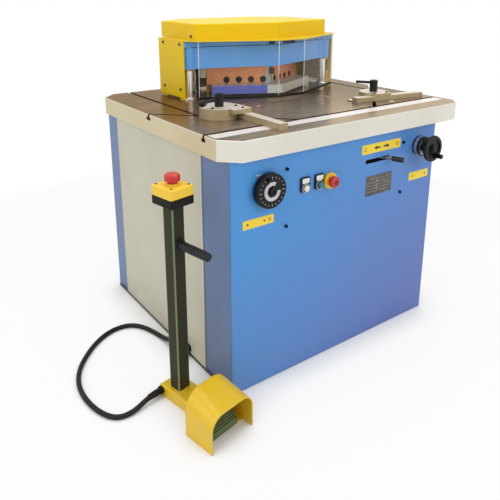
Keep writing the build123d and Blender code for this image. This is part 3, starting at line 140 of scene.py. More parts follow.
class Graph:
    """Adds and links shader nodes in one tree."""

    MIX_INPUTS: ClassVar[tuple[int, ...]] = (0, 6, 7)
    MIX_RESULT: ClassVar[int] = 2

    def __init__(self, tree: bpy.types.NodeTree) -> None:
        """Keep the tree that nodes go into."""
        self.tree = tree

    def feed(self, targets: Iterable[Socket], values: Iterable[object]) -> None:
        """Link output sockets to targets, or set constants on them.

        Args:
            targets: Input sockets.
            values: Output sockets or constants, in the same order.
        """
        for target, value in zip(targets, values):
            if isinstance(value, Socket):
                self.tree.links.new(value, target)
            else:
                target.default_value = value

    def feed_named(self, inputs: bpy.types.NodeInputs, values: dict[str, object]) -> None:
        """Feed inputs by their names, spaces as underscores."""
        self.feed((inputs[name.replace("_", " ")] for name in values), values.values())

    def add(self, kind: str, settings: dict | None = None, **inputs: object) -> bpy.types.Node:
        """Add a node.

        Args:
            kind: Node type name.
            settings: Node properties to set.
            **inputs: Socket names, spaces as underscores, with values or output sockets.

        Returns:
            The new node.
        """
        node = self.tree.nodes.new(kind)
        for name, value in (settings or {}).items():
            setattr(node, name, value)
        self.feed_named(node.inputs, inputs)
        return node

    def surface(self, **sockets: object) -> None:
        """Feed the shader's sockets by their names, spaces as underscores."""
        self.feed_named(self.tree.nodes["Principled BSDF"].inputs, sockets)

    def work(self, kind: str, operation: str, values: Sequence[object]) -> Outputs:
        """Add a node that works something out.

        Args:
            kind: Node type name.
            operation: What it works out.
            values: Values or output sockets, in the order of its inputs.

        Returns:
            Its outputs.
        """
        node = self.add(kind, {"operation": operation})
        self.feed(node.inputs, values)
        return node.outputs

    def math(self, operation: str, *values: object) -> Socket:
        """Result of a Math node on values or sockets."""
        return self.work("ShaderNodeMath", operation, values)[0]

    def vector(self, operation: str, *values: object) -> Outputs:
        """Outputs of a Vector Math node on values or sockets."""
        return self.work("ShaderNodeVectorMath", operation, values)

    def plus(self, first: object, second: object) -> Socket:
        """Sum of two values or sockets."""
        return self.math("ADD", first, second)

    def times(self, first: object, second: object) -> Socket:
        """Product of two values or sockets."""
        return self.math("MULTIPLY", first, second)

    def mix(self, share: object, first: object, second: object) -> Socket:
        """Find a colour between two colours.

        Args:
            share: Share of the second colour.
            first: First colour.
            second: Second colour.

        Returns:
            The mixed colour.
        """
        node = self.add("ShaderNodeMix", {"data_type": "RGBA"})
        self.feed((node.inputs[index] for index in self.MIX_INPUTS), (share, first, second))
        return node.outputs[self.MIX_RESULT]

    def ramp(self, value: object, low: float, high: float) -> Socket:
        """Value stretched so that low gives 0 and high gives 1, clamped."""
        return self.add("ShaderNodeMapRange", Value=value, From_Min=low, From_Max=high).outputs[0]

    def place(self) -> Socket:
        """Object coordinates."""
        return self.add("ShaderNodeTexCoord").outputs["Object"]

    def along(self, spot: Socket, axis: object) -> Socket:
        """How far a vector reaches along an axis, given as a constant or a socket."""
        return self.vector("DOT_PRODUCT", spot, axis)["Value"]


ACROSS, DEEP, HIGH = (1, 0, 0), (0, 1, 0), (0, 0, 1)


@dataclass(frozen=True)
class Mottle:
    """Noise over a piece: how fine it is, and the band of it that shows."""

    scale: float
    detail: float = 2.0
    band: Flat | None = None

    def on(self, graph: Graph, spot: Socket) -> Socket:
        """Noise over a coordinate, its band stretched to run from 0 to 1."""
        noise = graph.add("ShaderNodeTexNoise", Vector=spot, Scale=self.scale, Detail=self.detail)
        return graph.ramp(noise.outputs["Fac"], *self.band) if self.band else noise.outputs["Fac"]


class Kind(str, Enum):
    """Socket kinds of a node group."""

    VALUE = "NodeSocketFloat"
    TONE = "NodeSocketColor"
    VECTOR = "NodeSocketVector"


@dataclass(frozen=True)
class Effect:
    """A look that several finishes share, made into one node group."""

    name: ClassVar[str]
    takes: ClassVar[str]
    gives: ClassVar[str] = "Tone Roughness Height"
    kinds: ClassVar[dict[str, Kind]] = {
        "Base": Kind.TONE, "Shade": Kind.TONE, "Tone": Kind.TONE,
        "Stretch": Kind.VECTOR, "Normal": Kind.VECTOR,
    }

    def tree(self) -> bpy.types.NodeTree:
        """Give the node group, building it the first time.

        Returns:
            The node group.
        """
        found = bpy.data.node_groups.get(self.name)
        if found:
            return found
        tree = bpy.data.node_groups.new(self.name, "ShaderNodeTree")
        for way, labels in (("INPUT", self.takes), ("OUTPUT", self.gives)):
            for label in labels.split():
                kind = self.kinds.get(label, Kind.VALUE).value
                tree.interface.new_socket(label, in_out=way, socket_type=kind)
        graph = Graph(tree)
        taken = graph.add("NodeGroupInput").outputs
        graph.feed_named(graph.add("NodeGroupOutput").inputs, self.wire(graph, taken))
        return tree

    def wire(self, graph: Graph, take: Outputs) -> dict[str, Socket]:
        """Sockets that fill the group's outputs."""
        raise NotImplementedError

    def on(self, graph: Graph, **values: object) -> Outputs:
        """Outputs of the group, placed in a material with its own values."""
        return graph.add("ShaderNodeGroup", {"node_tree": self.tree()}, **values).outputs


@dataclass(frozen=True)
class PaintSkin(Effect):
    """Sprayed paint: broad drift of tone, floor dust, fine orange peel."""

    name: ClassVar[str] = "paint_skin"
    takes: ClassVar[str] = "Base Shade Rough Dust"
    drift: Mottle = Mottle(2.4, 3, (0.35, 0.65))
    patch: Mottle = Mottle(17, 4, (0.4, 0.75))
    swirl: Mottle = Mottle(55, 3)
    peel: Mottle = Mottle(520, 1)
    swirl_rough: float = 0.12
    dust_top: float = 0.16
    dust_tone: Display = (176, 168, 154)

    def wire(self, graph: Graph, take: Outputs) -> dict[str, Socket]:
        """Lay dust and orange peel over the drifting paint.

        Args:
            graph: Graph of the group.
            take: Its inputs.

        Returns:
            Sockets for its outputs.
        """
        spot = graph.place()
        low = graph.ramp(graph.along(spot, HIGH), self.dust_top, 0.0)
        dust = graph.times(graph.times(low, self.patch.on(graph, spot)), take["Dust"])
        painted = graph.mix(self.drift.on(graph, spot), take["Base"], take["Shade"])
        swirl = graph.times(self.swirl.on(graph, spot), self.swirl_rough)
        return {
            "Tone": graph.mix(dust, painted, tone(self.dust_tone)),
            "Roughness": graph.plus(graph.plus(take["Rough"], swirl), dust),
            "Height": self.peel.on(graph, spot),
        }


@dataclass(frozen=True)
class SoftEdges(Effect):
    """Rounded-off edges: a mask along them and the rounded normal."""

    name: ClassVar[str] = "soft_edges"
    takes: ClassVar[str] = "Radius"
    gives: ClassVar[str] = "Mask Normal"
    samples: int = 6
    band: Flat = (0.985, 0.86)

    def wire(self, graph: Graph, take: Outputs) -> dict[str, Socket]:
        """Compare the rounded normal with the surface's own.

        Args:
            graph: Graph of the group.
            take: Its inputs.

        Returns:
            Sockets for its outputs.
        """
        bevel = graph.add("ShaderNodeBevel", {"samples": self.samples}, Radius=take["Radius"])
        flat = graph.add("ShaderNodeNewGeometry").outputs["Normal"]
        agree = graph.along(bevel.outputs["Normal"], flat)
        return {"Mask": graph.ramp(agree, *self.band), "Normal": bevel.outputs["Normal"]}


@dataclass(frozen=True)
class MetalGrain(Effect):
    """Ground or brushed metal: fine lines along one direction and faint stains."""

    name: ClassVar[str] = "metal_grain"
    takes: ClassVar[str] = "Base Shade Stretch Rough Stain"
    lines: Mottle = Mottle(1.0, 5)
    stain: Mottle = Mottle(6.5, 5, (0.45, 0.8))
    line_band: Flat = (0.3, 0.7)
    line_rough: float = 0.16
    stain_rough: float = 0.06

    def wire(self, graph: Graph, take: Outputs) -> dict[str, Socket]:
        """Draw the lines out along the stretch and lay the stains over them.

        Args:
            graph: Graph of the group.
            take: Its inputs.

        Returns:
            Sockets for its outputs.
        """
        spot = graph.place()
        lines = self.lines.on(graph, graph.vector("MULTIPLY", spot, take["Stretch"])[0])
        stain = self.stain.on(graph, spot)
        bright = graph.mix(graph.ramp(lines, *self.line_band), take["Shade"], take["Base"])
        rough = graph.plus(take["Rough"], graph.times(lines, self.line_rough))
        return {
            "Tone": graph.mix(graph.times(stain, take["Stain"]), bright, take["Shade"]),
            "Roughness": graph.plus(rough, graph.times(stain, self.stain_rough)),
            "Height": lines,
        }


@dataclass(frozen=True)
class MouldedSkin(Effect):
    """Moulded plastic or rubber: fine grain and faint handling marks."""

    name: ClassVar[str] = "moulded_skin"
    takes: ClassVar[str] = "Base Shade Rough"
    marks: Mottle = Mottle(38, 4, (0.42, 0.7))
    grain: Mottle = Mottle(1500, 2)
    mark_share: float = 0.3
    mark_rough: float = 0.14

    def wire(self, graph: Graph, take: Outputs) -> dict[str, Socket]:
        """Lay handling marks over the moulded colour.

        Args:
            graph: Graph of the group.
            take: Its inputs.

        Returns:
            Sockets for its outputs.
        """
        spot = graph.place()
        marks = self.marks.on(graph, spot)
        share = graph.times(marks, self.mark_share)
        return {
            "Tone": graph.mix(share, take["Base"], take["Shade"]),
            "Roughness": graph.plus(take["Rough"], graph.times(marks, self.mark_rough)),
            "Height": self.grain.on(graph, spot),
        }


@dataclass(frozen=True)
class Fade:
    """A share that goes from 0 to 1 between two distances along an axis."""

    axis: Point
    band: Flat
    both_sides_of: float | None = None
    wander: float = 0.0
    roam: ClassVar[Mottle] = Mottle(4, 3)

    def on(self, graph: Graph, spot: Socket) -> Socket:
        """Work the share out over a piece.

        Args:
            graph: Graph of the material.
            spot: Coordinate that it lies on.

        Returns:
            The share.
        """
        reach = graph.along(spot, self.axis)
        if self.both_sides_of is not None:
            reach = graph.math("ABSOLUTE", graph.math("SUBTRACT", reach, self.both_sides_of))
        if self.wander:
            reach = graph.plus(reach, graph.times(self.roam.on(graph, spot), self.wander))
        return graph.ramp(reach, *self.band)


@dataclass(frozen=True)
class Wash:
    """A second colour, laid on where all its fades agree."""

    colour: Display
    fades: tuple[Fade, ...]
    share: float = 1.0

    def over(self, graph: Graph, under: Socket) -> Socket:
        """Lay the colour over another one.

        Args:
            graph: Graph of the material.
            under: The colour under it.

        Returns:
            Both colours.
        """
        spot, share = graph.place(), self.share
        for fade in self.fades:
            share = graph.times(fade.on(graph, spot), share)
        return graph.mix(share, under, tone(self.colour))


@dataclass(frozen=True)
class Finish:
    """A named surface finish, made into one material the first time it is used."""

    name: str
    slot: str

    def material(self) -> bpy.types.Material:
        """Give the finish's material, building it once.

        Returns:
            The material.
        """
        label = f"look_{self.name}"
        found = bpy.data.materials.get(label)
        if found:
            return found
        made = bpy.data.materials.new(label)
        made.use_nodes = True
        self.wire(Graph(made.node_tree))
        return made

    def wire(self, graph: Graph) -> None:
        """Connect the finish to the shader."""
        raise NotImplementedError


@dataclass(frozen=True)
class Skinned(Finish):
    """Finish of two near colours under a shared effect, with soft edges and washes."""

    base: Display
    shade: Display
    washes: tuple[Wash, ...] = field(default=(), kw_only=True)
    edge_share: ClassVar[float] = 0.35
    relief: ClassVar[float] = 0.5

    def skin(self, graph: Graph, effect: Effect, **values: object) -> Outputs:
        """Outputs of the effect on the finish's two colours."""
        return effect.on(graph, Base=tone(self.base), Shade=tone(self.shade), **values)

    def lay(
        self, graph: Graph, skin: Outputs, depth: float, radius: float,
        edge: Display | None = None, **constants: object,
    ) -> None:
        """Connect a skin to the shader.

        Args:
            graph: Graph of the material.
            skin: Outputs of the effect.
            depth: Depth of its relief, in metres.
            radius: Radius of the soft edges, or 0 for none.
            edge: Colour along the edges, or none for the skin's own.
            **constants: Values of the shader's other sockets.
        """
        colour, normal = skin["Tone"], {}
        if radius:
            edges = SoftEdges().on(graph, Radius=radius)
            normal = {"Normal": edges["Normal"]}
            if edge:
                share = graph.times(edges["Mask"], self.edge_share)
                colour = graph.mix(share, colour, tone(edge))
        for wash in self.washes:
            colour = wash.over(graph, colour)
        bump = graph.add(
            "ShaderNodeBump", Strength=self.relief, Distance=depth, Height=skin["Height"], **normal
        )
        graph.surface(
            Base_Color=colour, Roughness=skin["Roughness"], Normal=bump.outputs[0], **constants
        )


@dataclass(frozen=True)
class Paint(Skinned):
    """Sprayed paint on sheet steel or castings."""

    edge: Display
    roughness: float = 0.34
    dust: float = 0.25
    edge_radius: float = 0.003
    coat: float = 0.12
    coat_roughness: float = 0.15
    gloss: float = 0.5
    peel: float = 0.00004

    def wire(self, graph: Graph) -> None:
        """Connect the paint and its lighter edges to the shader; on the post they are a painted
        highlight.
        """
        skin = self.skin(graph, PaintSkin(), Rough=self.roughness, Dust=self.dust)
        self.lay(
            graph, skin, self.peel, self.edge_radius, self.edge, Specular_IOR_Level=self.gloss,
            Coat_Weight=self.coat, Coat_Roughness=self.coat_roughness,
        )


@dataclass(frozen=True)
class Metal(Skinned):
    """Bare ground, turned or brushed metal."""

    stretch: Point = (9.0, 420.0, 420.0)
    roughness: float = 0.22
    stain: float = 0.3
    edge_radius: float = 0.0012
    metallic: float = 1.0
    sheen: Display = (255, 255, 255)
    grain: float = 0.00003

    def wire(self, graph: Graph) -> None:
        """Connect the metal to the shader."""
        skin = self.skin(
            graph, MetalGrain(), Stretch=self.stretch, Rough=self.roughness, Stain=self.stain
        )
        self.lay(
            graph, skin, self.grain, self.edge_radius,
            Metallic=self.metallic, Specular_Tint=tone(self.sheen),
        )


@dataclass(frozen=True)
class Plastic(Skinned):
    """Moulded plastic, rubber or film."""

    roughness: float = 0.32
    grain: float = 0.00003
    edge_radius: float = 0.001
    glow: float = 0.0
    gloss: float = 0.5

    def wire(self, graph: Graph) -> None:
        """Connect the plastic, and its glow if any, to the shader.

        Args:
            graph: Graph of the material.
        """
        skin = self.skin(graph, MouldedSkin(), Rough=self.roughness)
        self.lay(graph, skin, self.grain, self.edge_radius, Specular_IOR_Level=self.gloss)
        if self.glow:
            graph.surface(Emission_Color=skin["Tone"], Emission_Strength=self.glow)


@dataclass(frozen=True)
class ClearSheet(Finish):
    """Clear plastic sheet with faint smears."""

    base: Display = (226, 236, 244)
    haze: float = 0.015
    smear: Mottle = Mottle(11, 4, (0.5, 0.85))
    smear_haze: float = 0.015
    smear_rough: float = 0.15
    roughness: float = 0.03
    glare: float = 0.3
    glare_bend: float = 0.5
    glare_power: float = 4.0

    def wire(self, graph: Graph) -> None:
        """Connect the clear sheet to the shader.

        Args:
            graph: Graph of the material.
        """
        smear = self.smear.on(graph, graph.place())
        facing = graph.add("ShaderNodeLayerWeight", Blend=self.glare_bend).outputs["Facing"]
        glare = graph.times(graph.math("POWER", facing, self.glare_power), self.glare)
        haze = graph.plus(graph.times(smear, self.smear_haze), self.haze)
        rough = graph.plus(graph.times(smear, self.smear_rough), self.roughness)
        graph.surface(Base_Color=tone(self.base), Alpha=graph.plus(haze, glare), Roughness=rough)


@dataclass(frozen=True)
class RuledScale(Finish):
    """Thin scale strip with graduation lines across it."""

    light: Display
    tint: Display
    line: Display
    pitch: float = 0.01
    line_band: Flat = (0.00065, 0.00045)
    marks: Fade = Fade(DEEP, (-0.418, -0.4184))
    drift: Mottle = Mottle(9)
    scuff: Mottle = Mottle(60)
    scuff_rough: float = 0.2
    roughness: float = 0.2
    metallic: float = 0.1

    def wire(self, graph: Graph) -> None:
        """Connect the scale and its lines to the shader.

        Args:
            graph: Graph of the material.
        """
        spot = graph.place()
        step = graph.math("PINGPONG", graph.along(spot, ACROSS), self.pitch / 2)
        mark = graph.times(self.marks.on(graph, spot), graph.ramp(step, *self.line_band))
        drift = graph.mix(self.drift.on(graph, spot), tone(self.light), tone(self.tint))
        scuff = graph.times(self.scuff.on(graph, spot), self.scuff_rough)
        graph.surface(
            Base_Color=graph.mix(mark, drift, tone(self.line)),
            Roughness=graph.plus(scuff, self.roughness),
            Metallic=self.metallic,
        )


# painted shade: darker steel to the right of the dies, behind the front band
PAINTED_SHADE_RIGHT = (Fade(ACROSS, (0.0, 0.4)), Fade(DEEP, (-0.36, -0.28)))
# painted reflection of the yellow guard: brown tint over the back left of the table
PAINTED_GUARD_REFLECTION = (Fade((-1, 1, 0), (0.3, 0.85), wander=0.5),)


class Palette:
    """Finishes of the machine, by use."""

    BLUE = Paint(
        "blue_paint", "cabinet_blue", (66, 150, 220), (74, 146, 216), (140, 186, 232),
        washes=(
            # painted shade: darker and more violet towards the right and towards the floor
            Wash((92, 116, 186), (Fade((1, 0, -1), (-1.0, 0.25)),)),
            # painted shade: greyer and darker on the cabinet's left return
            Wash((96, 106, 142), (Fade(ACROSS, (-0.4905, -0.4945)),), 0.75),
        ),
    )
    GREY = Paint("panel_paint", "panel_grey", (204, 200, 178), (196, 190, 168), (232, 229, 216))
    # painted highlight: pale strip along the lit front edge of each side panel
    PANEL_EDGE_HIGHLIGHT = Paint(
        "panel_edge_highlight_paint", "panel_grey", (244, 242, 234), (236, 233, 224), (250, 249, 245)
    )
    APRON = Paint(
        "apron_paint", "table_steel", (234, 231, 220), (226, 221, 208), (245, 243, 236),
        dust=0, edge_radius=0,
    )
    # painted shade and warm painted reflection: darker, warmer apron paint for its faces that face
    # left
    APRON_SHADED_SIDE = replace(
        APRON, name="apron_shaded_side_paint", base=(214, 200, 162), shade=(204, 188, 150)
    )
    # washes: painted shade to the right and painted reflection of the guard at the back left; the
    # die and recess finishes take the same
    TABLE = Metal(
        "ground_table", "table_steel", (204, 192, 177), (176, 162, 144), (6, 260, 260), 0.17, 0.45,
        edge_radius=0, metallic=0.8, sheen=(224, 206, 178),
        washes=(Wash((128, 116, 104), PAINTED_SHADE_RIGHT), Wash((98, 70, 32), PAINTED_GUARD_REFLECTION)),
    )
    DIE = replace(TABLE, name="die_steel", slot="tool_steel")
    # darker steel in slots, pockets and bores: partly their unground walls, partly painted shade in
    # the recesses
    RECESS_STEEL_AND_SHADE = replace(
        TABLE, name="recess_steel_and_shade", base=(104, 64, 46), shade=(80, 50, 38), stretch=(60, 60, 60),
        roughness=0.5, stain=0.3, metallic=0.2,
        washes=(Wash((70, 60, 52), PAINTED_SHADE_RIGHT), Wash((88, 46, 28), PAINTED_GUARD_REFLECTION)),
    )
    FRAME = Paint("frame_paint", "frame_black", (44, 44, 46), (52, 52, 54), (90, 90, 90))
    YELLOW = Paint(
        "guard_paint", "guard_yellow", (242, 206, 6), (236, 198, 10), (250, 224, 80),
        dust=0, coat=0, gloss=0.2,
    )
    # painted shade: darker yellow for the brim's upward faces under the cap
    BRIM_SHADE = replace(
        YELLOW, name="brim_shade_paint", base=(220, 182, 4), shade=(214, 176, 8), edge=(236, 204, 60)
    )
    RAM = Paint("ram_paint", "ram_blue", (98, 172, 248), (94, 162, 242), (150, 190, 238), dust=0)
    CHROME = Metal(
        "column_chrome", "column_chrome", (240, 240, 240), (222, 222, 224), (300, 300, 9), 0.16, 0.1
    )
    BRONZE = Metal("bush_bronze", "bronze", (196, 152, 88), (150, 108, 58), (260, 260, 40))
    COPPER = Metal(
        "blade_copper", "blade_copper", (236, 164, 112), (208, 130, 84), (60, 60, 240), 0.34, 0.4,
        metallic=0.6, washes=(Wash((176, 174, 166), (Fade(ACROSS, (0.024, 0.022), 0.105),)),),
    )
    HOLD_TOP = Metal(
        "hold_down_top", "hold_down", (212, 206, 190), (188, 180, 164), (60, 60, 60), 0.34,
        metallic=0.25,
    )
    HOLD_FRONT = Paint(
        "hold_down_paint", "hold_down", (106, 110, 204), (96, 104, 196), (160, 164, 220), dust=0,
        washes=(Wash((206, 208, 204), (Fade(ACROSS, (0.046, 0.049)),)),),
    )
    SCREW = Metal("screw_zinc", "screw_steel", (120, 118, 112), (70, 68, 64), (200, 200, 200), 0.3)
    DARK_BOLT = Metal("bolt_black", "bolt_black", (48, 48, 56), (26, 26, 32), (150, 150, 150), 0.4)
    MACHINE_GREY = Paint(
        "power_pack_paint", "cylinder_grey", (134, 138, 144), (122, 126, 134), (170, 172, 176)
    )
    MOTOR = Paint("motor_paint", "motor_grey", (108, 116, 130), (96, 106, 122), (150, 156, 166))
    BOX = Plastic("box_plastic", "box_grey", (190, 190, 184), (176, 176, 170))
    RUBBER = Plastic(
        "cable_rubber", "hose_rubber", (20, 18, 17), (30, 27, 25), 0.5, 0.00005, gloss=0.3
    )
    BLACK = Plastic("control_black", "control_black", (14, 14, 15), (26, 26, 28), 0.3, gloss=0.25)
    SWITCH_BASE = Plastic(
        "switch_base", "control_black", (20, 18, 11), (28, 26, 18), 0.5, gloss=0.2
    )
    BRIGHT = Metal("bright_bar", "lever_steel", (176, 178, 182), (120, 122, 128), (160, 160, 160))
    GRIP = Plastic("lever_grip", "lever_steel", (26, 27, 32), (38, 39, 44), 0.4)
    WHITE = Plastic("button_white", "button_white", (236, 234, 226), (222, 218, 208), 0.25)
    GREEN = Plastic("lamp_lens", "lamp_green", (46, 118, 124), (36, 100, 112), 0.12, glow=0.08)
    PALE_CAP = Plastic("end_block", "hold_down", (246, 236, 212), (234, 220, 190), 0.4)
    RED = Plastic("stop_red", "stop_red", (204, 46, 40), (184, 36, 34), 0.24)
    DARK_RED = Plastic("stop_centre", "stop_red", (96, 22, 20), (70, 16, 16), 0.4)
    SWITCH = Plastic("switch_yellow", "switch_yellow", (250, 206, 52), (244, 196, 44), 0.3)
    FENCE = Metal(
        "fence_steel", "fence_steel", (226, 216, 196), (216, 205, 184), (90, 90, 90), 0.34, 0.1,
        metallic=0.6,
    )
    # painted shade: darker, browner copy of the fence steel for its sides
    FENCE_SHADED_SIDE = Metal(
        "fence_shaded_side", "fence_steel", (178, 164, 132), (160, 146, 114), (90, 90, 90), 0.36, 0.2,
        metallic=0.4,
    )
    CLAMP = Plastic("clamp_black", "clamp_black", (16, 16, 17), (28, 28, 30), 0.36, gloss=0.25)
    PEDAL = Paint(
        "pedal_paint", "pedal_yellow", (240, 198, 8), (232, 188, 16), (250, 218, 96), 0.3
    )
    TREAD = Plastic("treadle_green", "treadle_green", (74, 92, 46), (56, 72, 34), 0.4, 0.0001)
    # edge tone: painted highlight along the post's edges
    POST = Paint(
        "post_paint", "post_black", (52, 55, 34), (46, 48, 30), (150, 154, 128), 0.42, 0.03,
        coat=0, gloss=0.15,
    )
    # painted highlight: pale paint on the post's rounded corners
    POST_CORNER_HIGHLIGHT = Paint(
        "post_corner_highlight_paint", "post_black", (132, 136, 110), (122, 126, 102), (150, 154, 130),
        coat=0, gloss=0.2,
    )
    HANDLE = Plastic(
        "handle_grip", "handle_grip", (26, 26, 29), (38, 38, 42), 0.42, 0.0001, gloss=0.3
    )
    CLEAR = ClearSheet("clear_shield", "clear_shield")
    LABEL = Plastic("label_film", "switch_yellow", (250, 218, 62), (244, 208, 66), 0.4, 0.00001)
    MARK = Plastic("label_mark", "control_black", (30, 28, 24), (46, 42, 36), 0.5)
    AMBER = Plastic("label_amber", "switch_yellow", (196, 120, 28), (180, 104, 24), 0.5)
    PLATE = Metal(
        "data_plate", "control_black", (124, 118, 112), (84, 78, 72), (40, 40, 90), 0.35, 0.6
    )
    SILVER = Metal(
        "dial_silver", "lever_steel", (214, 214, 216), (176, 176, 180), (90, 90, 90), 0.26
    )
    SCALE = RuledScale(
        "table_scale", "fence_steel", (240, 236, 232), (230, 220, 218), (178, 172, 166)
    )
    # painted highlight: pale strips on the clear shield's bends and ends
    SHIELD_BEND_HIGHLIGHT = Plastic("shield_bend_highlight", "clear_shield", (226, 232, 236), (206, 216, 222), 0.2)


def dress(
    nodes: str, finishes: Sequence[Finish], pick: Callable[[Face], Finish] | None = None
) -> None:
    """Give CAD nodes their finishes.

    Args:
        nodes: Names of the nodes, with spaces between them.
        finishes: Finishes in slot order.
        pick: Tells which finish a face takes, where there are several.
    """
    for node in nodes.split():
        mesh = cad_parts[node].data
        mesh.materials.clear()
        for finish in finishes:
            mesh.materials.append(finish.material())
        for face in mesh.polygons if pick else ():
            face.material_index = finishes.index(pick(face))


def rounded(mesh: BMesh, edges: Iterable, width: float) -> None:
    """Round edges of a mesh."""
    bmesh.ops.bevel(
        mesh, geom=list(edges), offset=width, offset_type="OFFSET", segments=2, profile=0.5,
        affect="EDGES", material=-1,
    )


def raised(mesh: BMesh, grown: list, height: float) -> list:
    """Lift what an extrusion made.

    Args:
        mesh: Mesh of the extrusion.
        grown: Its new vertices, edges and faces.
        height: How far they go up.

    Returns:
        The lifted vertices.
    """
    top = [part for part in grown if isinstance(part, bmesh.types.BMVert)]
    bmesh.ops.translate(mesh, vec=(0, 0, height), verts=top)
    return top


@dataclass(frozen=True)
class Solid:
    """A shape with its own sizes, in a local frame."""

    def parts(self) -> tuple["Solid", ...]:
        """Simple solids that it consists of, here itself."""
        return (self,)

    def make(self, mesh: BMesh) -> None:
        """Shape the solid in an empty mesh."""
        raise NotImplementedError


@dataclass(frozen=True)
class Brick(Solid):
    """Block that stands on its x-y plane, with rounded edges."""

    size: Point
    edge: float = 0.0

    def make(self, mesh: BMesh) -> None:
        """Scale a cube and round its edges.

        Args:
            mesh: Empty mesh that takes it.
        """
        bmesh.ops.create_cube(mesh, size=1.0, matrix=Matrix.Translation((0, 0, 0.5)))
        bmesh.ops.scale(mesh, vec=self.size, verts=mesh.verts)
        if self.edge:
            rounded(mesh, mesh.edges, self.edge)


@dataclass(frozen=True)
class Cutout(Solid):
    """Outline raised to a height, with its upper edges rounded."""

    outline: Profile
    height: float
    edge: float = 0.0

    def make(self, mesh: BMesh) -> None:
        """Extrude the outline and round its top.

        Args:
            mesh: Empty mesh that takes it.
        """
        base = mesh.faces.new([mesh.verts.new((x, y, 0)) for x, y in self.outline])
        grown = bmesh.ops.extrude_face_region(mesh, geom=[base])["geom"]
        top = set(raised(mesh, grown, self.height))
        bmesh.ops.recalc_face_normals(mesh, faces=mesh.faces)
        if self.edge:
            rounded(mesh, [e for e in mesh.edges if set(e.verts) <= top], self.edge)


@dataclass(frozen=True)
class Turning(Solid):
    """Profile of radii and heights, turned about the z axis."""

    profile: Profile
    steps: int = 40
    closed: bool = False
    sweep: float = FULL_TURN

    def make(self, mesh: BMesh) -> None:
        """Spin the profile, merge its doubles and face it outwards.

        Args:
            mesh: Empty mesh that takes it.
        """
        points = [mesh.verts.new((radius, 0, height)) for radius, height in self.profile]
        ends = points[1:] + points[:1] if self.closed else points[1:]
        start = [mesh.edges.new(pair) for pair in zip(points, ends)] + points
        full = self.sweep >= FULL_TURN
        if self.closed and not full:
            start.insert(0, mesh.faces.new(points))
        bmesh.ops.spin(
            mesh, geom=start, cent=(0, 0, 0), axis=HIGH, angle=math.radians(self.sweep),
            steps=self.steps, use_merge=full,
        )
        bmesh.ops.remove_doubles(mesh, verts=mesh.verts, dist=WELD)
        bmesh.ops.recalc_face_normals(mesh, faces=mesh.faces)


def ring(
    inner: float, outer: float, height: float, steps: int, sweep: float = FULL_TURN
) -> Turning:
    """Flat ring, or a part of one."""
    return Turning(((inner, 0), (outer, 0), (outer, height), (inner, height)), steps, True, sweep)


@dataclass(frozen=True)
class Strip(Solid):
    """Upright strip along a plan path, thickened on one side."""

    path: Profile
    height: float
    wall: float

    def make(self, mesh: BMesh) -> None:
        """Extrude the path upwards and give it its wall.

        Args:
            mesh: Empty mesh that takes it.
        """
        points = [mesh.verts.new((x, y, 0)) for x, y in self.path]
        edges = [mesh.edges.new(pair) for pair in zip(points, points[1:])]
        raised(mesh, bmesh.ops.extrude_edge_only(mesh, edges=edges)["geom"], self.height)
        bmesh.ops.recalc_face_normals(mesh, faces=mesh.faces)
        bmesh.ops.solidify(mesh, geom=mesh.faces[:], thickness=self.wall)
        bmesh.ops.recalc_face_normals(mesh, faces=mesh.faces)


@dataclass(frozen=True)
class Screw(Solid):
    """Socket-head screw, its six-sided socket sunk in the head."""

    radius: float
    height: float
    head: ClassVar[Turning] = Turning(((1, 0), (1, 0.85), (0.9, 1), (0.52, 1)), 24)
    socket: ClassVar[Turning] = Turning(((0.52, 1), (0.4992, 0.45), (0, 0.4)), 6)

    def parts(self) -> tuple[Solid, ...]:
        """Head and socket, scaled to the screw.

        Returns:
            The two turned solids.
        """
        wide, high = self.radius, self.height
        return tuple(
            replace(part, profile=tuple((r * wide, h * high) for r, h in part.profile))
            for part in (self.head, self.socket)
        )


class Shape:
    """A mesh in the making, put together from solids."""

    def __init__(self) -> None:
        """Start with an empty mesh."""
        self.mesh = bmesh.new()

    def add(self, solid: Solid, *places: Matrix) -> "Shape":
        """Add a solid in one or more places.

        Args:
            solid: What is added.
            *places: Local frames that it goes to.

        Returns:
            This shape.
        """
        for place in places:
            for part in solid.parts():
                made = bmesh.new()
                part.make(made)
                made.transform(place)
                store = bpy.data.meshes.new("part")
                made.to_mesh(store)
                made.free()
                self.mesh.from_mesh(store)
                bpy.data.meshes.remove(store)
        return self

    def piece(self, name: str, finish: Finish, body: Body = Body.MACHINE) -> None:
        """Turn the shape into a piece that rides on a body.

        Args:
            name: Name of the piece.
            finish: Its finish.
            body: The body that carries it.
        """
        mesh = bpy.data.meshes.new(name)
        self.mesh.to_mesh(mesh)
        self.mesh.free()
        mesh.shade_smooth()
        mesh.set_sharp_from_angle(angle=SMOOTH_TO)
        mesh.materials.append(finish.material())
        made = placed(name, mesh)
        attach(made, body.value)
        log.info("%s on %s: %d faces", name, body.value, len(mesh.polygons))


class Assembly:
    """A sub-assembly: CAD nodes that it finishes and pieces that it adds."""

    looks: ClassVar[dict[Finish, str]] = {}

    def dress(self) -> None:
        """Finish the CAD nodes that have one finish all over."""
        for finish, nodes in self.looks.items():
            dress(nodes, (finish,))

    def build(self) -> None:
        """Build the pieces, none unless the sub-assembly has its own."""


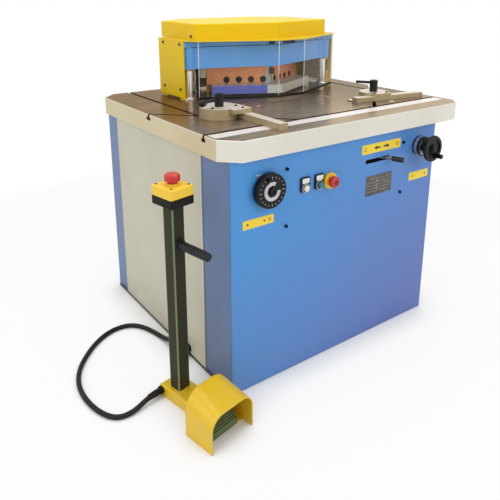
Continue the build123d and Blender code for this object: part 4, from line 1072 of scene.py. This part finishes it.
@dataclass
class Cabinet(Assembly):
    """Sheet-steel cabinet with its labels and plates."""

    looks: ClassVar[dict[Finish, str]] = {
        Palette.BLUE: "front_shell rear_shell",
        Palette.GREY: "left_panel right_panel",
        Palette.FRAME: "base_frame",
        Palette.DARK_BOLT: "front_bolts",
        Palette.SCREW: "cover_screws",
    }
    face_y: float = -0.4725
    back_y: float = 0.4725
    film: float = 0.0006
    film_edge: float = 0.0002
    ink: float = 0.0003
    gap_label: Extent = (-0.448, -0.324, 0.597, 0.628)
    lever_label: Extent = (0.078, 0.287, 0.756, 0.792)
    angle_label: Extent = (0.352, 0.468, 0.605, 0.638)
    arrow: Profile = (
        (0, 0.003), (0.018, 0.003), (0.018, 0.008), (0.034, 0),
        (0.018, -0.008), (0.018, -0.003), (0, -0.003),
    )
    arrows: Flat = (0.008, -0.008)
    wedge: Profile = ((-0.004, -0.005), (0.004, 0), (-0.004, 0.005))
    gap_wedges: Flat = (-0.042, 0.022)
    angle_wedges: Flat = (-0.036, 0.036)
    sign_r: Flat = (0.0045, 0.0075)
    sign_from: float = 0.085
    open_turn: float = 40.0
    open_sweep: float = 285.0
    open_steps: int = 20
    sign_steps: int = 24
    cross_bar: Flat = (0.014, 0.003)
    cross_from: float = 0.045
    cross_lift: float = 0.0001
    cross_turn: float = 45.0
    plate: Extent = (0.108, 0.248, 0.590, 0.668)
    plate_t: float = 0.001
    plate_edge: float = 0.0003
    rivet: Turning = Turning(((0.0025, 0), (0.0022, 0.0012), (0.0012, 0.0018), (0, 0.002)), 16)
    rivet_inset: float = 0.005
    rule_w: float = 0.0008
    rows: tuple[float, ...] = (0.2, 0.35, 0.5, 0.65, 0.8)
    row_share: float = 0.78
    column_share: float = 0.6
    column_from: float = 0.08
    back_screw: Screw = Screw(0.006, 0.004)
    back_screw_x: tuple[float, ...] = (-0.46, 0.0, 0.46)
    back_screw_z: tuple[float, ...] = (0.06, 0.42, 0.79)
    panel_edge: float = 0.007
    # painted shadow: dark strip along the foot of each side panel
    shadow_strip: Brick = Brick((0.925, 0.011, 0.002), 0.0005)

    def _on(self, box: Extent, shift: float = 0.0, ahead: float = 0.0, turn: float = 0.0) -> Matrix:
        """Place a local frame at the middle of a label on the front.

        Args:
            box: Left, right, low and high side of the label.
            shift: Distance to the right of the middle.
            ahead: Distance ahead of the front face.
            turn: Turn on the label, in degrees.

        Returns:
            The local frame.
        """
        left, right, low, high = box
        middle = ((left + right) / 2 + shift, self.face_y - ahead, (low + high) / 2)
        return Facing.FRONT.at(middle, turn)

    def build(self) -> None:
        """Build labels, the data plate, the rear screws, and the painted highlight and painted
        shadow strips on the side panels.
        """
        labels = Shape()
        for box in (self.gap_label, self.lever_label, self.angle_label):
            left, right, low, high = box
            film = Brick((right - left, high - low, self.film), self.film_edge)
            labels.add(film, self._on(box))
        labels.piece("front_labels", Palette.LABEL)
        self._marks()
        self._plate()
        spots = [(x, self.back_y, z) for x in self.back_screw_x for z in self.back_screw_z]
        screws = Shape().add(self.back_screw, *map(Facing.BACK.at, spots))
        screws.piece("rear_screws", Palette.SCREW)
        self._sides()

    def _marks(self) -> None:
        """Draw arrows and plain symbols on the labels."""
        marks = Shape()
        for outline, box, shifts in (
            (self.arrow, self.lever_label, self.arrows),
            (self.wedge, self.gap_label, self.gap_wedges),
            (self.wedge, self.angle_label, self.angle_wedges),
        ):
            for shift, turn in zip(shifts, (0.0, FULL_TURN / 2)):
                marks.add(Cutout(outline, self.ink), self._on(box, shift, self.film, turn))
        marks.piece("label_arrows", Palette.MARK)
        signs = Shape()
        place = self._on(self.lever_label, -self.sign_from, self.film, self.open_turn)
        signs.add(ring(*self.sign_r, self.ink, self.open_steps, self.open_sweep), place)
        place = self._on(self.lever_label, self.sign_from, self.film)
        signs.add(ring(*self.sign_r, self.ink, self.sign_steps), place)
        for turn, lift in ((self.cross_turn, 0.0), (-self.cross_turn, self.cross_lift)):
            place = self._on(self.gap_label, self.cross_from, self.film + lift, turn)
            signs.add(Brick((*self.cross_bar, self.ink)), place)
        signs.piece("label_symbols", Palette.AMBER)

    def _plate(self) -> None:
        """Build the bare data plate with ruled fields and rivets."""
        left, right, low, high = self.plate
        width, height, front = right - left, high - low, self.face_y - self.plate_t
        sheet = Brick((width, height, self.plate_t), self.plate_edge)
        plate = Shape().add(sheet, self._on(self.plate))
        for x in (left + self.rivet_inset, right - self.rivet_inset):
            for z in (low + self.rivet_inset, high - self.rivet_inset):
                plate.add(self.rivet, Facing.FRONT.at((x, front, z)))
        plate.piece("data_plate", Palette.PLATE)
        row = Brick((width * self.row_share, self.rule_w, self.ink))
        column = Brick((self.rule_w, height * self.column_share, self.ink))
        spots = [((left + right) / 2, front, low + height * share) for share in self.rows]
        rules = Shape().add(row, *map(Facing.FRONT.at, spots))
        rules.add(column, self._on(self.plate, -width * self.column_from, self.plate_t))
        rules.piece("data_plate_rules", Palette.SILVER)

    def _sides(self) -> None:
        """Build the pale strip of painted highlight on the front edge and the dark strip of painted
        shadow at the foot of each side panel.
        """
        edges, shadow_strips = Shape(), Shape()
        for node, facing in (("left_panel", Facing.LEFT), ("right_panel", Facing.RIGHT)):
            low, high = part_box(node)
            x = low.x if facing is Facing.LEFT else high.x
            # painted highlight along the panel's front edge
            edge = Brick((self.panel_edge, high.z - low.z, self.film), self.film_edge)
            front = (x, low.y + self.panel_edge / 2, (low.z + high.z) / 2)
            edges.add(edge, facing.at(front))
            shadow_strips.add(self.shadow_strip, facing.at((x, 0, self.shadow_strip.size[1] / 2)))
        edges.piece("panel_edge_highlights", Palette.PANEL_EDGE_HIGHLIGHT)
        shadow_strips.piece("painted_shadow_strips", Palette.FRAME)


@dataclass
class Table(Assembly):
    """T-slotted table with its scale and set screws."""

    top: float = 0.9
    skirt: float = 0.041
    rim: float = 0.002
    corner: float = 0.06
    skin: float = 0.001
    sideways: float = 0.9
    slanted: float = 0.3
    level: float = 0.8
    scale: Brick = Brick((1.105, 0.0475, 0.00005))
    scale_at: Flat = (0.0375, -0.40325)
    plugs: tuple[tuple[str, Flat, float, Body], ...] = (
        ("table_plug", (-0.1107, -0.1002), 0.0065, Body.MACHINE),
        ("fence_plug", (0.386, -0.332), 0.0105, Body.MACHINE),
        ("die_plug", (0.245, -0.108), 0.0065, Body.LOWER_RIGHT),
    )
    plug: Profile = ((1, 0), (1, 0.00004), (0.9, 0.00008), (0, 0.00008))
    plug_steps: int = 24

    def dress(self) -> None:
        """Finish the table: ground on top, dark in its slots, pockets and bores, partly as painted
        shade, and a painted apron with painted shade on its left faces.
        """
        low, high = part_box("table")
        mid, half = (low + high) / 2, (high - low) / 2

        def pick(face: Face) -> Finish:
            """Choose the finish of one face.

            Args:
                face: Face of the table.

            Returns:
                Paint for the skirt and the upright outer faces, with painted shade and warm
                reflection on those facing left; steel for the rest, darker in the recesses as
                painted shade.
            """
            (x, y, z), turned = face.center, face.normal
            past_x, past_y = abs(x - mid.x) - half.x, abs(y - mid.y) - half.y
            cut = min(abs(turned.x), abs(turned.y)) > self.slanted
            outer = max(past_x, past_y) > -self.rim or cut and min(past_x, past_y) > -self.corner
            if z < self.top - self.skirt or abs(turned.z) < self.level and outer:
                return Palette.APRON_SHADED_SIDE if turned.x < -self.sideways else Palette.APRON
            return Palette.TABLE if z > self.top - self.skin else Palette.RECESS_STEEL_AND_SHADE

        finishes = (Palette.TABLE, Palette.APRON, Palette.RECESS_STEEL_AND_SHADE, Palette.APRON_SHADED_SIDE)
        dress("table", finishes, pick)

    def build(self) -> None:
        """Build the inlaid scale and the set screws."""
        scale = Shape().add(self.scale, Facing.UP.at((*self.scale_at, self.top)))
        scale.piece("table_scale", Palette.SCALE)
        for name, spot, radius, body in self.plugs:
            profile = tuple((share * radius, height) for share, height in self.plug)
            plug = Turning(profile, self.plug_steps)
            place = Facing.UP.at((*spot, self.top))
            Shape().add(plug, place).piece(name, Palette.WHITE, body)


@dataclass
class Head(Assembly):
    """Ram, blades, hold-downs and the guard round them."""

    looks: ClassVar[dict[Finish, str]] = {
        Palette.CHROME: "guide_columns piston_rod",
        Palette.RAM: "ram head_crown",
        Palette.BRONZE: "ram_bushes",
        Palette.COPPER: "upper_blade_left upper_blade_right",
        Palette.DIE: "lower_die_left lower_die_right",
        Palette.CLEAR: "guard_shield",
        Palette.HOLD_TOP: "stripper_right",
    }
    table_top: float = 0.9
    corner: Flat = (0.105, 0.1005)
    arm_angle: float = 27.0
    holes: int = 4
    hole_z: float = 0.962
    first_hole: float = 0.036
    hole_pitch: float = 0.053
    hole_depth: float = 0.0079
    blade_screw: Screw = Screw(0.0132, 0.005)
    shield: Profile = ((-0.255, 0.1035), (0.038, -0.0355), (0.172, -0.0355), (0.465, 0.1035))
    shield_low: float = 0.908
    shield_top: float = 1.137
    trim_h: float = 0.010
    trim_t: float = 0.0015
    trim_ahead: float = 0.0002
    highlight_bead: Brick = Brick((0.003, 0.0012, 0.219), 0.0005)
    highlight_ahead: float = 0.0008
    side_clip: Brick = Brick((0.026, 0.004, 0.010), 0.001)
    side_clip_at: Point = (-0.028, 0.0105, -0.011)
    front_clip: Brick = Brick((0.062, 0.004, 0.008), 0.001)
    front_clip_at: Point = (0.048, -0.0022, -0.009)
    corner_block: Brick = Brick((0.022, 0.009, 0.026), 0.001)
    corner_block_ahead: float = 0.0048
    corner_block_z: float = 0.985
    end_block: Brick = Brick((0.026, 0.024, 0.0525), 0.0015)
    end_block_at: Flat = (0.295, -0.013)
    end_block_z: float = 0.9722
    die_post_at: Flat = (-0.153, 0.203)
    die_post: Turning = Turning(
        (
            (0.011, 0), (0.011, 0.004), (0.007, 0.007), (0.007, 0.046),
            (0.009, 0.048), (0.0085, 0.052), (0, 0.053),
        ),
        28,
    )
    columns: Profile = ((-0.26, 0.1775), (0.47, 0.1775), (-0.145, 0.328), (0.355, 0.328))
    collar: Turning = Turning(
        ((0.0183, 0), (0.027, 0), (0.027, 0.006), (0.025, 0.008), (0.0183, 0.008)), closed=True
    )
    cap_screw: Screw = Screw(0.006, 0.002)
    cap_screws: tuple[Point, ...] = ((0.131, 0.227, 1.20205), (0.153, 0.227, 1.20205))
    brim_top: float = 1.147
    level: float = 0.9
    front: float = 0.5

    def arm(self, side: int, along: float, ahead: float) -> Flat:
        """Plan point along a shear line and ahead of it, with side -1 on the left."""
        x, y = swung((along, -ahead), self.arm_angle)
        return (self.corner[0] + side * x, self.corner[1] + y)

    def dress(self) -> None:
        """Finish the head's CAD nodes, face by face: darker yellow as painted shade on the brim's
        upper faces, and the hold-down's painted front.
        """
        super().dress()
        dress(
            "guard_cap guard_sides", (Palette.YELLOW, Palette.BRIM_SHADE),
            lambda face: Palette.BRIM_SHADE
            if face.normal.z > self.level and face.center.z < self.brim_top
            else Palette.YELLOW,
        )
        dress(
            "stripper_left", (Palette.HOLD_TOP, Palette.HOLD_FRONT),
            lambda face: Palette.HOLD_FRONT
            if face.normal.y < -self.front and abs(face.normal.z) < self.front
            else Palette.HOLD_TOP,
        )

    def build(self) -> None:
        """Build trims, painted highlight strips on the shield, clips, screws and collars of the
        head.
        """
        up, trim_top = Facing.UP.at, self.shield_low + self.trim_h
        path = tuple((x, y - self.trim_ahead) for x, y in self.shield)
        trim = Shape().add(Strip(path, self.trim_h, self.trim_t), up((0, 0, self.shield_low)))
        trim.piece("shield_trim", Palette.BLACK)
        # painted highlight: pale strips at the shield's bends and ends
        spots = [(x, y - self.highlight_ahead, trim_top) for x, y in self.shield]
        Shape().add(self.highlight_bead, *map(up, spots)).piece("shield_bend_highlights", Palette.SHIELD_BEND_HIGHLIGHT)
        (ax, ay), (bx, by), _, _ = self.shield
        slope = math.degrees(math.atan2(by - ay, bx - ax))
        bend = Vector((bx, by, self.shield_top))
        clips = Shape().add(self.side_clip, up(bend + Vector(self.side_clip_at), slope))
        clips.add(self.front_clip, up(bend + Vector(self.front_clip_at)))
        clips.piece("shield_clips", Palette.BLACK)
        self._blade_screws()
        self._blocks()
        spots = [(x, y, self.table_top) for x, y in self.columns]
        Shape().add(self.collar, *map(up, spots)).piece("column_collars", Palette.CHROME)
        Shape().add(self.cap_screw, *map(up, self.cap_screws)).piece("cap_screws", Palette.SCREW)

    def _blade_screws(self) -> None:
        """Build the screws deep in the blades' counterbores."""
        x, y = swung((0, -1), self.arm_angle)
        for side, name, body in ((-1, "left", Body.UPPER_LEFT), (1, "right", Body.UPPER_RIGHT)):
            screws = Shape()
            for step in range(self.holes):
                along = self.first_hole + step * self.hole_pitch
                spot = (*self.arm(side, along, -self.hole_depth), self.hole_z)
                screws.add(self.blade_screw, aimed(spot, (side * x, y, 0)))
            screws.piece(f"blade_screws_{name}", Palette.DARK_BOLT, body)

    def _blocks(self) -> None:
        """Build the small blocks and the post beside the blades."""
        x, y = self.corner
        place = Facing.UP.at((x, y - self.corner_block_ahead, self.corner_block_z))
        block = Shape().add(self.corner_block, place)
        block.piece("corner_block", Palette.DARK_RED, Body.RAM)
        spot = (*self.arm(-1, *self.end_block_at), self.end_block_z)
        block = Shape().add(self.end_block, Facing.UP.at(spot, -self.arm_angle))
        block.piece("blade_end_block", Palette.PALE_CAP, Body.RAM)
        post = Shape().add(self.die_post, Facing.UP.at((*self.die_post_at, self.table_top)))
        post.piece("die_post", Palette.BRONZE, Body.LOWER_LEFT)


@dataclass
class PowerPack(Assembly):
    """Hydraulic unit and control box inside the cabinet."""

    looks: ClassVar[dict[Finish, str]] = {
        Palette.MACHINE_GREY: "cylinder_barrel oil_tank tank_lid valve_block gear_pump",
        Palette.MOTOR: "pump_motor",
        Palette.BOX: "electric_box",
        Palette.RUBBER: "hydraulic_hoses",
    }


@dataclass
class FrontControls(Assembly):
    """Dial, handwheel, lever and push buttons on the front."""

    looks: ClassVar[dict[Finish, str]] = {
        Palette.BLACK: "gap_dial angle_indicator angle_handwheel handwheel_knob legend_holders",
        Palette.SCREW: "angle_screw",
        Palette.BRONZE: "angle_nut",
        Palette.WHITE: "start_button",
        Palette.GREEN: "lamp_button",
        Palette.RED: "panel_estop",
        Palette.SWITCH: "estop_collar",
    }
    face_y: float = -0.4725
    dial: Flat = (-0.353, 0.718)
    dial_front: float = 0.029
    dial_ring: Turning = ring(0.0195, 0.032, 0.001, 48, 298)
    ring_turn: float = 62.0
    ticks: int = 20
    long_every: int = 5
    long_tick: tuple[Brick, float] = (Brick((0.009, 0.0012, 0.0004)), 0.0455)
    short_tick: tuple[Brick, float] = (Brick((0.005, 0.0012, 0.0004)), 0.047)
    boss: Turning = Turning(
        (
            (0.0135, 0), (0.0135, 0.005), (0.0115, 0.0075),
            (0.006, 0.0075), (0.005, 0.0045), (0, 0.0042),
        ),
        36,
    )
    pointer: Cutout = Cutout(
        ((0.030, -0.018), (0.052, -0.020), (0.071, 0.0), (0.052, 0.006), (0.030, 0.004)),
        0.003,
        0.0008,
    )
    pointer_turn: float = 128.0
    wheel: Flat = (0.398, 0.745)
    cap: Turning = Turning(
        ((0.0125, 0), (0.0125, 0.003), (0.010, 0.0055), (0.004, 0.006), (0, 0.006)), 28
    )
    cap_at: float = 0.0715
    band: Turning = ring(0.0391, 0.0398, 0.012, 56)
    band_at: float = 0.007
    sector: Turning = ring(0.021, 0.034, 0.0008, 36, 150)
    sector_at: float = 0.028
    sector_turn: float = 130.0
    buttons: Flat = (-0.193, -0.130)
    button_z: float = 0.690
    bezel: Turning = Turning(
        ((0.0145, 0), (0.0172, 0), (0.0168, 0.0028), (0.0145, 0.003)), 32, True
    )
    legend: Brick = Brick((0.031, 0.017, 0.0006), 0.0002)
    legend_z: float = 0.7155
    holder_t: float = 0.007
    stop: Flat = (-0.079, 0.694)
    stop_front: float = 0.036
    # painted shade: dark red disc on top of the panel stop
    stop_shade_disc: Turning = Turning(
        ((0.0085, 0), (0.0085, 0.0006), (0.0078, 0.0012), (0, 0.0015)), 28
    )
    lever_grip_y: float = -0.4905

    def dress(self) -> None:
        """Finish the controls' CAD nodes, the lever with a dark grip."""
        super().dress()
        dress(
            "lock_lever", (Palette.BRIGHT, Palette.GRIP),
            lambda face: Palette.GRIP if face.center.y < self.lever_grip_y else Palette.BRIGHT,
        )

    def _ahead(self, spot: Flat, ahead: float, turn: float = 0.0) -> Matrix:
        """Local frame ahead of the front face."""
        x, z = spot
        return Facing.FRONT.at((x, self.face_y - ahead, z), turn)

    def build(self) -> None:
        """Build dial faces, pointers, legend plates, rings and the dark disc of painted shade on
        the stop.
        """
        self._dial()
        self._handwheel()
        plates = [self._ahead((x, self.legend_z), self.holder_t) for x in self.buttons]
        Shape().add(self.legend, *plates).piece("legend_plates", Palette.WHITE)
        seats = [self._ahead((x, self.button_z), self.holder_t) for x in self.buttons]
        Shape().add(self.bezel, *seats).piece("button_bezels", Palette.SILVER)
        cap = Shape().add(self.stop_shade_disc, self._ahead(self.stop, self.stop_front))
        cap.piece("panel_stop_shade_disc", Palette.DARK_RED, Body.STOP)

    def _dial(self) -> None:
        """Build the gap dial's broken ring, ticks, boss and pointer."""
        face = Shape().add(self.dial_ring, self._ahead(self.dial, self.dial_front, self.ring_turn))
        face.piece("dial_ring", Palette.SILVER, Body.GAP)
        ticks = Shape()
        for number in range(self.ticks):
            place = self._ahead(self.dial, self.dial_front, number * FULL_TURN / self.ticks)
            tick, reach = self.short_tick if number % self.long_every else self.long_tick
            ticks.add(tick, place @ Matrix.Translation((reach, 0, 0)))
        ticks.piece("dial_ticks", Palette.WHITE, Body.GAP)
        boss = Shape().add(self.boss, self._ahead(self.dial, self.dial_front))
        boss.piece("dial_boss", Palette.BLACK, Body.GAP)
        pointer = Shape().add(self.pointer, self._ahead(self.dial, 0.0, self.pointer_turn))
        pointer.piece("dial_pointer", Palette.SILVER)

    def _handwheel(self) -> None:
        """Build the handwheel's cap and the indicator's bright band and sector."""
        cap = Shape().add(self.cap, self._ahead(self.wheel, self.cap_at))
        cap.piece("handwheel_cap", Palette.BLACK, Body.ANGLE)
        band = Shape().add(self.band, self._ahead(self.wheel, self.band_at))
        band.piece("indicator_band", Palette.SILVER)
        face = Shape().add(self.sector, self._ahead(self.wheel, self.sector_at, self.sector_turn))
        face.piece("indicator_sector", Palette.SILVER)


@dataclass
class Fences(Assembly):
    """Clamped fences on the table."""

    looks: ClassVar[dict[Finish, str]] = {Palette.CLAMP: "left_clamp_lever right_clamp_lever"}
    screw: Screw = Screw(0.0055, 0.003)
    left_hub: Point = (-0.338, -0.172, 0.9382)
    left_screws: Profile = ((0.052, -0.028), (0.052, -0.072), (-0.035, 0.036), (-0.046, -0.03))
    right_hub: Point = (0.374, -0.243, 0.9292)
    right_screws: Profile = ((0.03, -0.046), (-0.03, -0.046), (0.034, 0.026))
    right_tilt: float = -9.5
    upward: float = 0.5

    def dress(self) -> None:
        """Finish the fences' CAD nodes, darker and browner on their sides as painted shade."""
        super().dress()
        dress(
            "left_fence_base left_fence_arm right_fence_base right_fence_arm",
            (Palette.FENCE, Palette.FENCE_SHADED_SIDE),
            lambda face: Palette.FENCE if face.normal.z > self.upward else Palette.FENCE_SHADED_SIDE,
        )

    def build(self) -> None:
        """Build the fences' screws."""
        for name, body, hub, tilt, spots in (
            ("left", Body.LEFT_ARM, self.left_hub, 0.0, self.left_screws),
            ("right", Body.RIGHT_ARM, self.right_hub, self.right_tilt, self.right_screws),
        ):
            seats = [Vector(hub) + Vector((*swung(spot, tilt), 0)) for spot in spots]
            screws = Shape().add(self.screw, *map(Facing.UP.at, seats))
            screws.piece(f"{name}_fence_screws", Palette.DARK_BOLT, body)


@dataclass
class FootPedal(Assembly):
    """Foot pedal, its post and the stop switch on top."""

    looks: ClassVar[dict[Finish, str]] = {
        Palette.PEDAL: "pedal_hood pedal_base",
        Palette.TREAD: "treadle",
        Palette.SCREW: "treadle_pin",
        Palette.HANDLE: "pedal_handle",
        Palette.BLACK: "cable_gland cable_elbow",
        Palette.SWITCH_BASE: "switch_box",
        Palette.SWITCH: "switch_box_cover",
        Palette.RED: "post_estop",
    }
    origin: Flat = (-0.600, -0.6355)
    turn: float = 11.0
    post: Flat = (0.018, 0.272)
    post_w: float = 0.048
    straight: float = 0.99
    cover_top: float = 0.762
    cover_screw: Screw = Screw(0.0042, 0.0016)
    cover_screw_at: Flat = (0.034, 0.037)
    collar: Turning = Turning(
        ((0.0145, 0), (0.0205, 0), (0.0195, 0.003), (0.0175, 0.0042), (0.0145, 0.0042)), closed=True
    )
    handle_z: float = 0.569
    ribs: int = 7
    first_rib: float = 0.022
    rib_pitch: float = 0.014
    rib: Turning = Turning(((0.0135, 0), (0.0147, 0.002), (0.0147, 0.006), (0.0135, 0.008)), 32)
    relief_at: Point = (-0.050, 0.318, 0.022)
    relief_bore: float = 0.0087
    relief_r: float = 0.0117
    relief_rings: int = 5
    relief_pitch: float = 0.006
    relief_taper: float = 0.0004
    relief_steps: int = 28
    relief_ring: Profile = ((0, 0), (0, 0.004), (-0.0012, 0.0045), (-0.0012, 0.006))

    def direction(self, x: float, y: float) -> Point:
        """Level pedal direction in the shared frame."""
        return (*swung((x, y), self.turn), 0.0)

    def spot(self, x: float, y: float, z: float) -> Point:
        """Pedal coordinates to the shared frame."""
        across, deep = swung((x, y), self.turn)
        return (self.origin[0] + across, self.origin[1] + deep, z)

    def dress(self) -> None:
        """Finish the pedal's CAD nodes, the post's rounded corners pale as a painted highlight."""
        super().dress()
        axes = [Vector(self.direction(1, 0)), Vector(self.direction(0, 1)), Vector(HIGH)]
        dress(
            "pedal_post", (Palette.POST, Palette.POST_CORNER_HIGHLIGHT),
            lambda face: Palette.POST_CORNER_HIGHLIGHT
            if max(abs(face.normal.dot(axis)) for axis in axes) < self.straight
            else Palette.POST,
        )

    def build(self) -> None:
        """Build screws, rings and grips of the pedal."""
        (px, py), (dx, dy) = self.post, self.cover_screw_at
        screws = Shape()
        for x in (px - dx, px + dx):
            for y in (py - dy, py + dy):
                screws.add(self.cover_screw, Facing.UP.at(self.spot(x, y, self.cover_top)))
        screws.piece("switch_screws", Palette.SCREW)
        collar = Shape().add(self.collar, Facing.UP.at(self.spot(px, py, self.cover_top)))
        collar.piece("switch_collar", Palette.SWITCH)
        toward = Vector(self.direction(0, -1))
        start = Vector(self.spot(px, py - self.post_w / 2, self.handle_z))
        ribs = Shape()
        for number in range(self.ribs):
            along = self.first_rib + number * self.rib_pitch
            ribs.add(self.rib, aimed(start + toward * along, toward))
        ribs.piece("handle_ribs", Palette.HANDLE)
        self._relief()

    def _relief(self) -> None:
        """Build the tapered strain relief where the cable leaves the pedal."""
        profile = [(self.relief_bore, 0.0)]
        for number in range(self.relief_rings):
            along = number * self.relief_pitch
            wide = self.relief_r - number * self.relief_taper
            profile += [(wide + dip, along + step) for dip, step in self.relief_ring]
        profile.append((self.relief_bore, self.relief_rings * self.relief_pitch))
        place = aimed(self.spot(*self.relief_at), self.direction(-1, 0))
        sleeve = Shape().add(Turning(tuple(profile), self.relief_steps, True), place)
        sleeve.piece("cable_relief", Palette.RUBBER)


@dataclass
class PedalCable:
    """Cable from the pedal to the cabinet, lying in a loose loop on the floor."""

    radius: float = 0.0085
    length: float = 1.09
    round_steps: int = 6
    path_steps: int = 10
    order: int = 3
    route: tuple[Point, ...] = (
        (-0.7098, -0.3329, 0.022), (-0.7431, -0.3394, 0.022), (-0.792, -0.354, 0.011),
        (-0.832, -0.3575, 0.009), (-0.862, -0.346, 0.009), (-0.885, -0.313, 0.009),
        (-0.902, -0.260, 0.009), (-0.910, -0.193, 0.009), (-0.903, -0.120, 0.009),
        (-0.878, -0.054, 0.009), (-0.839, 0.002, 0.009), (-0.783, 0.061, 0.009),
        (-0.720, 0.106, 0.009), (-0.659, 0.125, 0.009), (-0.603, 0.114, 0.009),
        (-0.568, 0.074, 0.009), (-0.546, 0.009, 0.009), (-0.535, -0.050, 0.010),
        (-0.531, -0.104, 0.030), (-0.531, -0.150, 0.030),
    )

    def build(self) -> None:
        """Build the cable as one smooth spline."""
        curve = bpy.data.curves.new("pedal_cord", "CURVE")
        curve.dimensions = "3D"
        curve.bevel_depth = self.radius
        curve.bevel_resolution = self.round_steps
        curve.resolution_u = self.path_steps
        curve.use_fill_caps = True
        spline = curve.splines.new("NURBS")
        spline.points.add(len(self.route) - 1)
        for point, spot in zip(spline.points, self.route):
            point.co = (*spot, 1.0)
        spline.order_u = self.order
        spline.use_endpoint_u = True
        curve.materials.append(Palette.RUBBER.material())
        made = placed("pedal_cord", curve)
        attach(made, Body.MACHINE.value)
        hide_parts("pedal_cable")
        log.info("pedal_cord on %s: %d points", Body.MACHINE.value, len(self.route))


@dataclass
class Studio:
    """Camera, pale floor and soft light."""

    camera_at: Point = (-1.3922, -1.8270, 1.330)
    azimuth: float = 35.682
    pitch: float = 15.766
    focal_px: float = 564.6
    frame_px: float = 500.0
    sensor: float = 36.0
    shift_y: float = -0.2
    floor_half: float = 9.0
    floor_tone: Display = (244, 244, 243)
    floor_rough: float = 0.9
    floor_gloss: float = 0.1
    floor_fade: Flat = (0.8, 2.2)
    glow: float = 0.84
    shade_reach: float = 0.16
    shade_band: Flat = (0.4, 0.92)
    sky: float = 0.55
    lamps: tuple[tuple[str, Point, float, float], ...] = (
        ("key", (1.0, -3.6, 2.6), 2.4, 38.0),
        ("fill", (-3.4, -0.6, 2.4), 2.6, 30.0),
        ("top", (0.2, 0.3, 3.8), 3.0, 55.0),
    )
    aim: Point = (0.0, 0.0, 0.6)

    def camera(self) -> None:
        """Place the camera at the picture's viewing angle."""
        data = bpy.data.cameras.new("camera")
        data.sensor_fit = "HORIZONTAL"
        data.sensor_width = self.sensor
        data.lens = self.focal_px / self.frame_px * self.sensor
        data.shift_y = self.shift_y
        made = placed("camera", data)
        turn, dip = math.radians(self.azimuth), math.radians(self.pitch)
        level = math.cos(dip)
        ahead = (math.sin(turn) * level, math.cos(turn) * level, -math.sin(dip))
        made.matrix_world = aimed(self.camera_at, ahead, "-Z")
        bpy.context.scene.camera = made

    def _seen(self, graph: Graph) -> Socket:
        """Tell the rays that see the background.

        Args:
            graph: Graph of the floor or the world.

        Returns:
            1 for rays that see it straight, by gloss or through clear sheet.
        """
        path = graph.add("ShaderNodeLightPath").outputs
        direct = graph.math("MAXIMUM", path["Is Camera Ray"], path["Is Glossy Ray"])
        return graph.math("MAXIMUM", direct, path["Is Transmission Ray"])

    def light(self) -> None:
        """Set up the world and the lamps."""
        world = bpy.data.worlds.new("studio")
        bpy.context.scene.world = world
        world.use_nodes = True
        graph = Graph(world.node_tree)
        seen = self._seen(graph)
        strength = graph.add("ShaderNodeMapRange", Value=seen, To_Min=self.sky, To_Max=1.0)
        back = world.node_tree.nodes["Background"].inputs
        graph.feed_named(back, {"Strength": strength.outputs[0], "Color": WHITE_LIGHT})
        for name, spot, size, power in self.lamps:
            data = bpy.data.lights.new(name, "AREA")
            data.size = size
            data.energy = power
            toward = Vector(self.aim) - Vector(spot)
            placed(name, data).matrix_world = aimed(spot, toward, "-Z")

    def floor(self) -> None:
        """Lay the floor."""
        mesh = bmesh.new()
        bmesh.ops.create_grid(mesh, x_segments=1, y_segments=1, size=self.floor_half)
        data = bpy.data.meshes.new("floor")
        mesh.to_mesh(data)
        mesh.free()
        material = bpy.data.materials.new("studio_floor")
        material.use_nodes = True
        self._floor_look(Graph(material.node_tree))
        data.materials.append(material)
        placed("floor", data)

    def _floor_look(self, graph: Graph) -> None:
        """Make the floor white where it is far or clear, and shaded close to the machine.

        Args:
            graph: Graph of the floor's material.
        """
        graph.surface(
            Base_Color=tone(self.floor_tone), Roughness=self.floor_rough,
            Specular_IOR_Level=self.floor_gloss,
        )
        nodes = graph.tree.nodes
        glow = graph.add("ShaderNodeEmission", Color=WHITE_LIGHT, Strength=1.0)
        far = graph.ramp(graph.vector("LENGTH", graph.place())["Value"], *self.floor_fade)
        near = graph.add("ShaderNodeAmbientOcclusion", Distance=self.shade_reach).outputs["AO"]
        clear = graph.times(graph.ramp(near, *self.shade_band), self.glow)
        share = graph.times(self._seen(graph), graph.math("MAXIMUM", far, clear))
        blend = graph.add("ShaderNodeMixShader")
        painted = nodes["Principled BSDF"].outputs[0]
        graph.feed(blend.inputs, (share, painted, glow.outputs[0]))
        graph.feed_named(nodes["Material Output"].inputs, {"Surface": blend.outputs[0]})

    def build(self) -> None:
        """Build the whole studio."""
        bpy.context.scene.view_settings.view_transform = "Standard"
        self.camera()
        self.floor()
        self.light()


def main() -> None:
    """Build the studio, the cable and every sub-assembly in order."""
    logging.basicConfig(level=logging.INFO, format="%(name)s: %(message)s")
    Studio().build()
    PedalCable().build()
    for part in (Cabinet(), Table(), Head(), PowerPack(), FrontControls(), Fences(), FootPedal()):
        part.dress()
        part.build()
        log.info("%s dressed", type(part).__name__)


if __name__ == "__main__":
    main()
